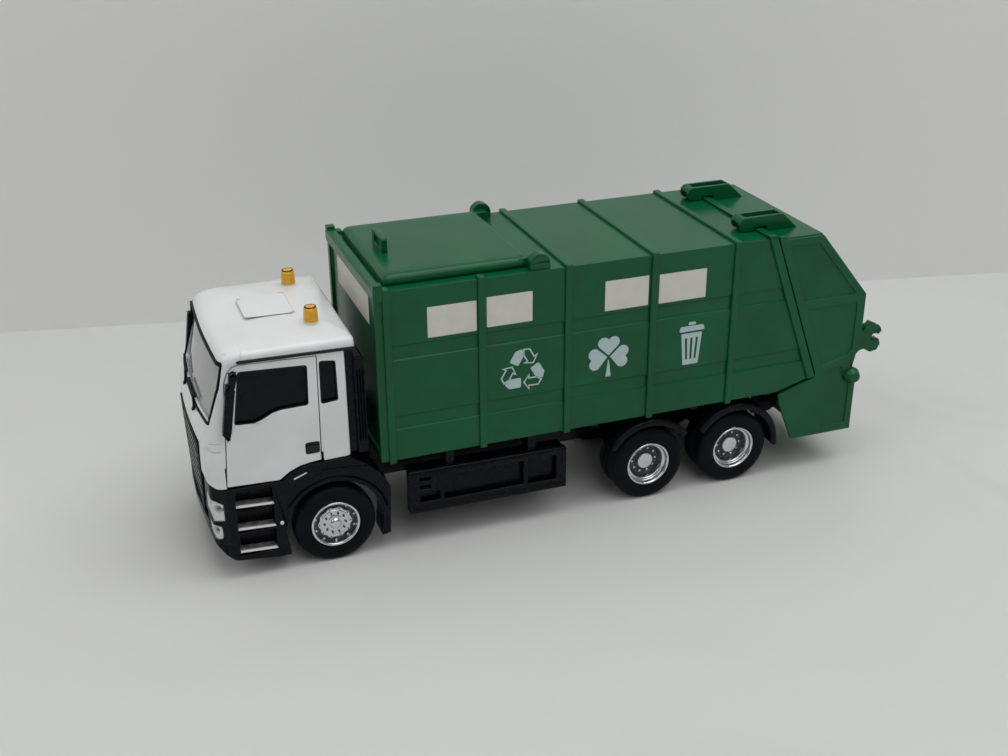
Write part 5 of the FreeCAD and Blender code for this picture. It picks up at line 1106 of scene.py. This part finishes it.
box = plate("side", [(BODY_FRONT, BODY_LOW), (206, BODY_LOW), on_seam(SEAM_FOOT[1]), on_seam(BODY_TOP),
                     (BODY_FRONT, BODY_TOP)], -BODY_HALF, BODY_HALF, "load_box_moulding")
hollow = plate("side", [(BODY_FRONT + 2.8, BODY_LOW + BODY_WALL), (205.6, BODY_LOW + BODY_WALL), (235, 53.5),
                        (235, BODY_TOP - BODY_WALL), (BODY_FRONT + 2.8, BODY_TOP - BODY_WALL)],
               BODY_WALL - BODY_HALF, BODY_HALF - BODY_WALL)
front_recess = plate("front", oblong(-35.6, 46.5, 35.6, 113.6), 10, BODY_FRONT + 1.2)
lid_hole = plate("plan", softened(oblong(-31, 29, 31, 83), 1.5), 110, 120)
cuts = [hollow, front_recess, lid_hole]
for head in (93.8, 62.8):
    for sign in (1, -1):
        cuts.append(plate("front", [(sign * 38.5, head), (sign * 41, head + 0.4), (sign * 41, head - 8.2),
                                    (sign * 38.5, head - 5.7)], BODY_FRONT + 6.6, 230))
carved_in_turn(box, cuts)
parts = [box]
# ribs: front edge of each and how far it runs over the roof from the side, all over where None
for front, reach in ((23.8, 3.2), (63.2, 3.2), (101.1, None), (140.1, None), (179.3, None)):
    outer, foot, head = BODY_HALF + 1.2, BODY_LOW - 0.8, BODY_TOP + 1.2
    if reach is None:
        hoop = [(-outer, foot), (-outer, head - 0.5), (0.5 - outer, head), (outer - 0.5, head),
                (outer, head - 0.5), (outer, foot), (BODY_HALF - 0.4, foot),
                (BODY_HALF - 0.4, BODY_TOP - 0.4), (0.4 - BODY_HALF, BODY_TOP - 0.4),
                (0.4 - BODY_HALF, foot)]
        outlines = [hoop]
    else:
        outlines = [[(s * (BODY_HALF - 0.4), foot), (s * outer, foot), (s * outer, head - 0.5),
                     (s * (outer - 0.5), head), (s * (outer - reach - 1.2), head),
                     (s * (outer - reach - 1.2), BODY_TOP - 0.4), (s * (BODY_HALF - 0.4), BODY_TOP - 0.4)]
                    for s in (1, -1)]
    for outline in outlines:
        parts.append(broken_edges(plate("front", outline, front, front + 3.1), 0.55, 3))
# header rail with its raised ends
parts.append(broken_edges(plate("side", [(20.1, 114.2), (23.7, 114.2), (23.7, 119.6), (21.1, 119.6),
                                         (20.1, 118.6)], -39.9, 39.9), 0.3))
parts += broken_pair("side", oblong(20.2, 113.8, 24, 121), 36.6, 40.1, 0.45, 3)
# the seam's flange: a rounded strip down each side, a strip over the roof and a square head
strip = softened([on_seam(47.3, -4.2), on_seam(47.9, -0.2), on_seam(118.8, -0.1), on_seam(118.8, -4)], 0.5, 2)
parts += broken_pair("side", strip, BODY_HALF - 0.4, BODY_HALF + 1.2, 0.4, 3)
parts.append(broken_edges(plate("side", [on_seam(117.2, -4), on_seam(117.2), on_seam(118.8),
                                         on_seam(118.8, -4)], -38.8, 38.8), 0.35))
head = [on_seam(117.8, -3.9), on_seam(117.8, -0.1), on_seam(119.3, -0.2), on_seam(119.3, -3.8)]
parts += broken_pair("side", head, 37.2, 40.2, 0.3)
# round lugs for the lid's pins, and the knuckles under the tailgate's hinge housings
LID_AXIS, GATE_AXIS = (90.6, 119.9), (190.4, 121.0)
lug = [(LID_AXIS[0] - 4.4, BODY_TOP - 0.4), (LID_AXIS[0] + 4.4, BODY_TOP - 0.4)]
lug += arc(LID_AXIS, 4.4, range(0, 181, 9))
parts += broken_pair("side", lug, 33.4, 38, 0.5, 3)
knuckle = [(GATE_AXIS[0] - 0.4, BODY_TOP - 0.4), (GATE_AXIS[0] + 1.8, BODY_TOP - 0.4)]
knuckle += arc(GATE_AXIS, 1.8, range(0, 226, 15))
parts += both("side", knuckle, 21.9, 25.9)
broken_edges(parts[0], 0.35, 3)
body = joined("load_box", parts)
fitted(broken_edges(body, 0), green, "truck", ("refuse_body",))

# ---- Roof lid ------------------------------------------------------------------------------
# A thick green lid with rounded shoulders lies over the hole in the roof. It pivots on pins in
# the two lugs, and a pierced tab near its front edge serves as the grip.
LID_LEVELS = [(118.0, 33.6, 25.6, 86.7), (119.6, 33.4, 25.9, 86.7), (120.7, 33.0, 26.4, 86.6),
              (121.4, 32.3, 27.2, 86.4), (121.8, 31.5, 28.1, 86.1), (122.0, 30.4, 29.2, 85.6)]
verts, faces = [], []
for level, half, front, rear in LID_LEVELS:
    verts += [at(x, y, level) for x, y in softened(oblong(-half, front, half, rear), 2.2, 6)]
count = len(verts) // len(LID_LEVELS)
for row in range(len(LID_LEVELS) - 1):
    for i in range(count):
        j = (i + 1) % count
        faces.append((row * count + i, row * count + j, (row + 1) * count + j, (row + 1) * count + i))
faces += [tuple(range(count)), tuple(range(len(verts) - count, len(verts)))]
pan = built("roof_lid_pan", verts, faces)
carved(pan, [plate("plan", oblong(-31.8, 27.8, 31.8, 84.8), 117, 120.4)])
carved(pan, both("plan", oblong(33, LID_AXIS[0] - 4.8, 36, 90), 117, 124))
grip = plate("front", softened(oblong(-7.5, 121.7, 7.5, 128.1), 1.2), 32.9, 35.5)
carved(grip, [plate("front", softened(oblong(-4.6, 123.3, 4.6, 126.6), 0.5), 30, 38)])
pips = [turned("pip", [(7.4, 0.001), (7.75, 0.001), (7.7, 0.3), (7.4, 0.42)], (y, 127.0), 16, closed=True)
        for y in (33.7, 34.8)]
ear = [(83, 119.1), (LID_AXIS[0], LID_AXIS[1] - 1.9)]
ear += arc(LID_AXIS, 1.9, range(-75, 91, 15))
ear += [(83, 121.3)]
pins = []
for low, high in ((-37.4, -31), (31, 37.4)):
    pins.append(turned("pin", [(low, 0.001), (low, 1.0), (high, 1.0), (high, 0.001)], LID_AXIS, 24,
                       closed=True))
lid = joined("roof_lid_moulding", [broken_edges(pan, 0), broken_edges(grip, 0.35, 3)]
             + broken_pair("side", ear, 29, 33, 0.25) + pips + pins)
fitted(broken_edges(lid, 0), green, "roof_lid", ("roof_lid",))

# ---- Tailgate ------------------------------------------------------------------------------
# A hollow green shell behind the seam. Each side has raised borders around an upper and a lower
# panel; the back is open under a beam, and hinge housings on the roof reach over the body.
GATE = [on_seam(SEAM_FOOT[1] + 0.4, 0.5), (243.6, 52.6), (248.4, 57.4), (248.4, 85.5), (222.3, 117.2),
        on_seam(117.2, 0.5)]
gate = plate("side", GATE, -39.9, 39.9, "tailgate_moulding")
cuts = [plate("side", [(190, 40), (252, 40), (252, 79.8), (245.4, 79.8), (245.4, 85.1), (221.5, 115.6),
                       (190, 115.6)], -37.4, 37.4)]
UPPER_PANEL = [on_seam(85.9, 4.5), (243.6, 85.9), (220.8, 113.2), on_seam(113.2, 4.5)]
LOWER_PANEL = [on_seam(52.2, 4.5), (241.6, 56), (244.4, 58.8), (244.4, 82.1), on_seam(82.1, 4.5)]
for panel in (UPPER_PANEL, LOWER_PANEL):
    cuts += both("side", softened(panel, 1.0, 2), 39.0, 41)
# the roof's edge falls back from the borders
cuts += both("side", oblong(203, 116.4, 224, 119), 39.1, 41)
carved_in_turn(gate, cuts)
broken_edges(gate, 0.3, 3)
# the border beside the seam stands proud of the roof's edge
border = [on_seam(116.4, 0.7), on_seam(116.4, 4.3), on_seam(118.2, 4.2), on_seam(118.2, 0.7)]
borders = broken_pair("side", border, 37.6, 39.8, 0.35, 3)
tailgate = joined("tailgate_shell", [gate] + borders)
fitted(broken_edges(tailgate, 0), green, "tailgate", ("tailgate",))

HOUSING = [(GATE_AXIS[0], 118.0), (194.9, 118.0), (194.9, 119.5), (201, 119.5), (201, 117.2), (216.4, 117.2),
           (209, 124.2), (GATE_AXIS[0], 124.2)]
HOUSING_AXIS = (GATE_AXIS[0], 121.1)
HOUSING += arc(HOUSING_AXIS, 3.1, range(99, 262, 9))
housings = []
for sign in (1, -1):
    low, high = across(sign, 20.0, 27.8)
    shell = plate("side", HOUSING, low, high)
    carved(shell, [plate("side", [(180, 117.6), (193.4, 117.6), (193.4, 120), (208.2, 120), (208.2, 130),
                                  (180, 130)], low + 1.4, high - 1.4)])
    nose = arc(HOUSING_AXIS, 3.1, range(84, 172, 8)) + arc(HOUSING_AXIS, 2.3, range(164, 80, -8))
    pin = turned("pin", [(low + 0.5, 0.001), (low + 0.5, 1.0), (high - 0.5, 1.0), (high - 0.5, 0.001)],
                 GATE_AXIS, 24, closed=True)
    cover = plate("side", nose, low + 0.2, high - 0.2)
    housings += [broken_edges(shell, 0.3, 3), broken_edges(cover, 0.12), pin]
hinges = joined("tailgate_hinge_housings", housings)
fitted(broken_edges(hinges, 0), green, "tailgate", ("tailgate_hinge",))

# ---- Hopper --------------------------------------------------------------------------------
# The loading trough hangs under the tailgate between two side plates that reach further forward,
# each with a pressed panel and an ear for the bin lifter's shaft. A packer plate slants above it.
LIFTER_AXIS, BOSS_AXIS = (246.6, 45.0), (246.0, 45.0)
HOPPER = [(207.6, 41.1), (208.2, 37), (216.6, 17), (248.5, 16.8), (248.5, 40.2), (243.6, 52.6),
          on_seam(SEAM_FOOT[1] + 0.4, 0.5), (225.9, 47.2), (222.8, 46.2)]
hopper = plate("side", HOPPER, -39.2, 39.2, "hopper_trough")
trough = [(226.4, 43.4), (227.4, 25), (228.4, 21.4), (231, 19.4), (245.4, 18.6), (246.8, 22.8), (246.8, 40.2),
          (252, 40.2), (252, 60), (226, 60)]
nose = [(200, 10), (226.4, 10), (224.6, 60), (200, 60)]
cuts = [plate("side", trough, -37.4, 37.4), plate("side", nose, -37.4, 37.4)]
cuts += both("side", softened([(232.4, 20.2), (245, 20.6), (245.2, 40), (240, 50.6), (231, 48.6)], 0.8, 2),
             38.3, 41)
carved_in_turn(hopper, cuts)
ears = []
for sign in (1, -1):
    low, high = across(sign, 37.4, 39.2)
    ears.append(turned("ear", [(low, 1.1), (low, 3.4), (high, 3.4), (high, 1.1)], LIFTER_AXIS, 32,
                       closed=True))
hopper = joined("hopper_moulding", [broken_edges(hopper, 0.35, 3)] + ears)
fitted(broken_edges(hopper, 0), green, "tailgate", ("hopper",))
moulding("packer_plate", green, 0.25, 3)
BOSS = [(39.25, 0.001), (39.25, 3.9), (40.0, 3.85), (40.6, 3.4), (42.2, 2.7), (42.7, 2.3), (42.9, 1.6),
        (42.95, 0.001)]
bosses = [turned("boss", [(sign * x, r) for x, r in BOSS], BOSS_AXIS, 40, closed=True) for sign in (1, -1)]
finished("lifter_boss_pair", bosses, green, "tailgate", ("lifter_bosses",))

# ---- Bin lifter ----------------------------------------------------------------------------
# Two green claws on a cross bar turn on stub shafts in the hopper's ears. A comb between them
# catches the rim of a bin.
CLAW = [(245.0, 44.0), (248.2, 44.0), (250.4, 54.6), (254, 55.4), (257.6, 53.2), (261.4, 53.8), (262.6, 57),
        (261.4, 59.6), (258.4, 60.4), (257.6, 59), (258, 62.6), (261.6, 61.8), (262.8, 63.6), (261.4, 66),
        (256.4, 68.8), (253.4, 66.6), (252.4, 64.4), (247.6, 63.6)]
EYE = [(32.5, 0.001), (32.5, 2.5), (32.8, 2.7), (35.4, 2.7), (35.7, 2.5), (35.7, 0.001)]
claws = [broken_edges(claw, 0.5, 3) for claw in both("side", softened(CLAW, 1.3, 4), 32.6, 35.6)]
for sign in (1, -1):
    claws.append(turned("eye", [(sign * x, r) for x, r in EYE], LIFTER_AXIS, 32, closed=True))
claws.append(turned("bar", [(-33, 0.001), (-33, 2.0), (33, 2.0), (33, 0.001)], LIFTER_AXIS, 32, closed=True))
claws.append(turned("stubs", [(-38, 0.001), (-38, 1.1), (38, 1.1), (38, 0.001)], LIFTER_AXIS, 24,
                    closed=True))
comb = plate("front", softened(oblong(-33, 54.8, 33, 61), 0.6, 3), 248.2, 249.6)
for n in range(9):
    x = -28 + 7 * n
    carved(comb, [plate("front", softened(oblong(x - 1.4, 57.6, x + 1.4, 63), 0.5, 2), 247, 251)])
claws.append(broken_edges(comb, 0.3, 3))
finished("bin_lifter_claws", claws, green, "bin_lifter", ("bin_lifter",))

# ---- Stickers ------------------------------------------------------------------------------
# White self-adhesive vinyl, cut square and rubbed on by hand: four blank plates along each side
# near the roof and a long one on the header. They have no print.
sticker_vinyl, tree, place = blank_material("white_sticker_vinyl")
rub = add(tree, "ShaderNodeTexNoise", {"Vector": place, "Scale": 180.0, "Detail": 3.0})
tone = add(tree, "ShaderNodeValToRGB", {"Fac": rub.outputs["Fac"]})
tone.color_ramp.elements[0].color = linear("#cfcdc4")
tone.color_ramp.elements[1].color = linear("#dedcd5")
bubbles = add(tree, "ShaderNodeBump", {"Strength": 0.1, "Distance": 0.0001, "Height": rub.outputs["Fac"]})
skin = add(tree, "ShaderNodeBsdfPrincipled", {"Base Color": tone.outputs["Color"], "Roughness": 0.42,
                                              "Normal": bubbles.outputs["Normal"]})
add(tree, "ShaderNodeOutputMaterial", {"Surface": skin.outputs["BSDF"]})
# front, rear, foot, head
STICKERS = [(42.0, 62.7, 95.6, 108.7), (67.0, 86.8, 96.3, 109.4), (119.2, 139.2, 95.6, 108.9),
            (144.1, 166.4, 95.4, 108.5)]
stickers = []
for front, rear, foot, head in STICKERS:
    cut = softened(oblong(front, foot, rear, head), 0.35, 2)
    stickers += both("side", cut, BODY_HALF - 0.1, BODY_HALF + 0.09)
stickers.append(plate("front", softened(oblong(-26, 99.3, 26, 112.3), 0.35, 2),
                      BODY_FRONT + 1.1, BODY_FRONT + 1.3))
finished("blank_stickers", stickers, sticker_vinyl, "truck", width=0.03)

# ---- Printed signs -------------------------------------------------------------------------
# Common signs in pale grey ink between the ribs on each side: a recycling loop, a shamrock and a
# waste bin. The ink lies 0.05 mm thick on the green.
ink, tree, place = blank_material("pale_pad_print_ink")
screen_dots = add(tree, "ShaderNodeTexNoise", {"Vector": place, "Scale": 1500.0, "Detail": 2.0})
tone = add(tree, "ShaderNodeValToRGB", {"Fac": screen_dots.outputs["Fac"]})
tone.color_ramp.elements[0].color = linear("#afc3c5")
tone.color_ramp.elements[1].color = linear("#bdd0d2")
skin = add(tree, "ShaderNodeBsdfPrincipled", {"Base Color": tone.outputs["Color"], "Roughness": 0.45})
add(tree, "ShaderNodeOutputMaterial", {"Surface": skin.outputs["BSDF"]})
INK = (BODY_HALF - 0.05, BODY_HALF + 0.06)


def framed(view, outline, width, low, high):
    """A band along the inside of an outline, on both sides of the truck."""
    bands = []
    for near, far in ((low, high), (-high, -low)):
        band = plate(view, outline, near, far)
        bands.append(carved(band, [plate(view, grown(outline, -width), near - 1, far + 1)]))
    return bands


def spun(outline, turn, middle):
    """The outline turned by an angle in degrees and set round a middle point."""
    c, s = math.cos(math.radians(turn)), math.sin(math.radians(turn))
    return [(middle[0] + u * c - v * s, middle[1] + u * s + v * c) for u, v in outline]


signs = []
# three arrows chase each other: a filled arm, a fold, and an outlined arm with its head
LOOP_AT, LOOP_SCALE = (82.7, 74.4), 0.86


def along_side(normal, run, turn):
    """A point from its distance to the loop's middle and its run along a side of the triangle."""
    side = math.radians(turn)
    return (normal * math.cos(side) + run * math.sin(side), normal * math.sin(side) - run * math.cos(side))


arm = [along_side(n, t, 150) for n, t in ((8.7, 1.1), (8.7, 7.1), (6.2, 9.7), (3.6, 7.2), (3.6, 1.1))]
head = [along_side(n, s, 30) for n, s in ((5.8, -10.0), (8.8, -8.0), (8.7, -3.3), (10.9, -3.3), (6.3, 0.0),
                                          (1.9, -3.3), (4.0, -3.3), (4.0, -7.0))]
for turn in (0, 120, 240):
    arm_here = spun([(u * LOOP_SCALE, v * LOOP_SCALE) for u, v in arm], turn, LOOP_AT)
    head_here = spun([(u * LOOP_SCALE, v * LOOP_SCALE) for u, v in head], turn, LOOP_AT)
    signs += both("side", softened(arm_here, 0.6, 3), *INK) + framed("side", head_here, 0.62, *INK)
# the shamrock: three heart-shaped leaves on a stem
LEAF_AT = (121.6, 74.5)
leaf = [(0.0, 0.6)] + arc((2.35, 6.45), 2.65, range(-38, 154, 12))
leaf += [(-u, v) for u, v in reversed(leaf[1:])]
for turn in (0, 95, -95):
    signs += both("side", spun(leaf, turn, LEAF_AT), *INK)
signs += both("side", [(LEAF_AT[0] - 0.2, 73.0), (LEAF_AT[0] + 0.2, 73.0), (LEAF_AT[0] + 1.2, 65.3),
                       (LEAF_AT[0] - 1.2, 65.3)], *INK)
# the waste bin: lid with a grip, a tapered tub with three slots, a wheel
BIN_AT = 160.9
tub = softened([(-5.0, 79.4), (5.0, 79.4), (3.7, 64.6), (-3.7, 64.6)], 0.5, 2)
for x in (1, -1):
    low, high = across(x, INK[0], INK[1])
    body_of_bin = plate("side", [(BIN_AT + u, v) for u, v in tub], low, high)
    slots = []
    for u in (-2.8, 0, 2.8):
        slot = [(BIN_AT + u * 0.95 - 0.55, 77.2), (BIN_AT + u * 0.95 + 0.55, 77.2),
                (BIN_AT + u * 0.72 + 0.5, 67.0), (BIN_AT + u * 0.72 - 0.5, 67.0)]
        slots.append(plate("side", softened(slot, 0.4, 2), low - 1, high + 1))
    signs.append(carved_in_turn(body_of_bin, slots))
signs += both("side", softened([(BIN_AT - 6.2, 80.3), (BIN_AT + 6.2, 80.3), (BIN_AT + 5.4, 82.8),
                                (BIN_AT - 5.4, 82.8)], 0.6, 3), *INK)
signs += both("side", softened([(BIN_AT - 1.9, 83.2), (BIN_AT + 1.9, 83.2), (BIN_AT + 1.5, 84.6),
                                (BIN_AT - 1.5, 84.6)], 0.4, 2), *INK)
finished("printed_signs", signs, ink, "truck")

# ---- Tail lamps ----------------------------------------------------------------------------
# Red styrene lenses in three fields over the hopper's foot, pushed in from behind.
ruby, tree, place = blank_material("red_styrene")
prisms = add(tree, "ShaderNodeTexVoronoi", {"Vector": place, "Scale": 1100.0})
tone = add(tree, "ShaderNodeValToRGB", {"Fac": prisms.outputs["Distance"]})
tone.color_ramp.elements[0].color = linear("#8f0d12")
tone.color_ramp.elements[1].color = linear("#c11d20")
facets = add(tree, "ShaderNodeBump", {"Strength": 0.4, "Distance": 0.0001,
                                      "Height": prisms.outputs["Distance"]})
skin = add(tree, "ShaderNodeBsdfPrincipled", {"Base Color": tone.outputs["Color"], "IOR": 1.59,
                                              "Roughness": 0.12, "Transmission Weight": 0.25,
                                              "Normal": facets.outputs["Normal"]})
add(tree, "ShaderNodeOutputMaterial", {"Surface": skin.outputs["BSDF"]})
fields, bezels = [], []
for sign in (1, -1):
    for low, high in ((24.3, 27.5), (27.9, 31.1), (31.5, 34.7)):
        outline = softened(oblong(sign * low, 21.3, sign * high, 24.7), 0.5, 3)
        fields.append(broken_edges(plate("front", outline, 248.7, 249.45), 0.25, 3))
    bezel = softened(oblong(sign * 24.0, 21.0, sign * 35.0, 25.0), 0.6, 3)
    bezels.append(broken_edges(plate("front", bezel, 248.4, 248.95), 0.12))
finished("tail_lamp_lenses", fields, ruby, "tailgate", ("tail_lamps",))
finished("tail_lamp_bezels", bezels, gloss_black, "tailgate")

# ---- Table, wall and light ----------------------------------------------------------------
# The model stands on a plain white cloth in front of a pale painted wall, under broad soft
# lamps overhead, so that its near side lies in even, slightly dimmer light than its roof.
cloth, tree, place = blank_material("white_cotton_cloth")
weave = add(tree, "ShaderNodeTexNoise", {"Vector": place, "Scale": 1400.0, "Detail": 2.0})
folds = add(tree, "ShaderNodeTexNoise", {"Vector": place, "Scale": 3.0, "Detail": 2.0})
cloth_bump = add(tree, "ShaderNodeBump", {"Strength": 0.2, "Distance": 0.0002,
                                          "Height": weave.outputs["Fac"]})
cloth_folds = add(tree, "ShaderNodeBump", {"Strength": 0.4, "Distance": 0.02, "Height": folds.outputs["Fac"],
                                           "Normal": cloth_bump.outputs["Normal"]})
# creases from where the cloth lay folded wander across it as low broad ridges
wander = add(tree, "ShaderNodeTexNoise", {"Vector": place, "Scale": 2.2, "Detail": 1.0,
                                          "Distortion": 1.4})
drift = add(tree, "ShaderNodeMath", {0: wander.outputs["Fac"], 1: 0.5}, operation="SUBTRACT")
distance = add(tree, "ShaderNodeMath", {0: drift.outputs["Value"]}, operation="ABSOLUTE")
slope = add(tree, "ShaderNodeMapRange", {"Value": distance.outputs["Value"], "From Max": 0.07,
                                         "To Min": 1.0, "To Max": 0.0}, interpolation_type="SMOOTHSTEP")
creases = add(tree, "ShaderNodeBump", {"Strength": 0.5, "Distance": 0.006, "Height": slope.outputs["Result"],
                                       "Normal": cloth_folds.outputs["Normal"]})
skin = add(tree, "ShaderNodeBsdfPrincipled", {"Base Color": linear("#d2d3d1"), "Roughness": 0.85,
                                              "Normal": creases.outputs["Normal"]})
add(tree, "ShaderNodeOutputMaterial", {"Surface": skin.outputs["BSDF"]})
wall_paint, tree, place = blank_material("matt_wall_paint")
roller = add(tree, "ShaderNodeTexNoise", {"Vector": place, "Scale": 260.0, "Detail": 3.0})
stipple = add(tree, "ShaderNodeBump", {"Strength": 0.15, "Distance": 0.0004, "Height": roller.outputs["Fac"]})
skin = add(tree, "ShaderNodeBsdfPrincipled", {"Base Color": linear("#ebebe9"), "Roughness": 0.8,
                                              "Normal": stipple.outputs["Normal"]})
# it is painted on the truck's side only, so the truck can be looked at through its back
facing = add(tree, "ShaderNodeNewGeometry")
nothing = add(tree, "ShaderNodeBsdfTransparent")
both_sides = add(tree, "ShaderNodeMixShader", {0: facing.outputs["Backfacing"], 1: skin.outputs["BSDF"],
                                               2: nothing.outputs["BSDF"]})
add(tree, "ShaderNodeOutputMaterial", {"Surface": both_sides.outputs["Shader"]})

# the wall stands behind the truck, turned a little to its length
WALL_TURN = math.radians(78)
WALL_AT = Vector((-0.21, 0.05, 0.0))
along = Vector((math.cos(WALL_TURN), math.sin(WALL_TURN), 0))
inward = Vector((math.sin(WALL_TURN), -math.cos(WALL_TURN), 0))
ends = [WALL_AT - along * 4, WALL_AT + along * 4]
rise = Vector((0, 0, 3))
for title, corners, order, material in (
        ("tablecloth", ends + [ends[1] + inward * 5, ends[0] + inward * 5], (0, 3, 2, 1), cloth),
        ("back_wall", ends + [ends[1] + rise, ends[0] + rise], (0, 1, 2, 3), wall_paint)):
    mesh = bpy.data.meshes.new(title)
    mesh.from_pydata([tuple(corner) for corner in corners], [], [order])
    mesh.materials.append(material)
    sheet = bpy.data.objects.new(title, mesh)
    bpy.context.scene.collection.objects.link(sheet)

world = bpy.data.worlds.new("soft_room")
bpy.context.scene.world = world
world.use_nodes = True
world.node_tree.nodes.clear()
room = add(world.node_tree, "ShaderNodeBackground", {"Color": linear("#e4e6e8"), "Strength": 0.22})
add(world.node_tree, "ShaderNodeOutputWorld", {"Surface": room.outputs["Background"]})
# name, place in metres, size across and along in metres, power in watts
LIGHTS = [("ceiling_panel", (0.02, 0.2, 1.5), (1.2, 1.2), 11.2),
         ("front_panel", (0.2, -1.2, 1.25), (1.0, 1.0), 4.6),
         ("side_panel", (1.2, 0.1, 1.35), (1.1, 1.1), 6.0),
         ("tube", (0.42, 1.0, 1.5), (0.9, 0.2), 2.8)]
AIM = Vector((0, 0, 0.05))
for title, spot, (broad, long), watts in LIGHTS:
    lamp = bpy.data.lights.new(title, "AREA")
    lamp.shape = "RECTANGLE"
    lamp.size, lamp.size_y = broad, long
    lamp.energy = watts
    holder = bpy.data.objects.new(title, lamp)
    holder.location = spot
    holder.rotation_euler = (AIM - Vector(spot)).to_track_quat("-Z", "Y").to_euler()
    bpy.context.scene.collection.objects.link(holder)

# the camera stands in front of the truck's left side, above its roof
AZIMUTH, ELEVATION, ROLL = math.radians(69.86), math.radians(25.32), math.radians(-0.376)
optics = bpy.data.cameras.new("camera")
optics.lens, optics.sensor_width = 46.0, 36.0
optics.clip_start, optics.clip_end = 0.01, 20.0
camera = bpy.data.objects.new("camera", optics)
looking = Vector((-math.sin(AZIMUTH) * math.cos(ELEVATION), math.cos(AZIMUTH) * math.cos(ELEVATION),
                  -math.sin(ELEVATION)))
camera.rotation_mode = "QUATERNION"
turn = looking.to_track_quat("-Z", "Y").to_matrix() @ Matrix.Rotation(ROLL, 3, "Z")
camera.rotation_quaternion = turn.to_quaternion()
camera.location = (0.4917, -0.1974, 0.3006)
bpy.context.scene.collection.objects.link(camera)
bpy.context.scene.camera = camera
bpy.context.scene.view_settings.view_transform = "Standard"
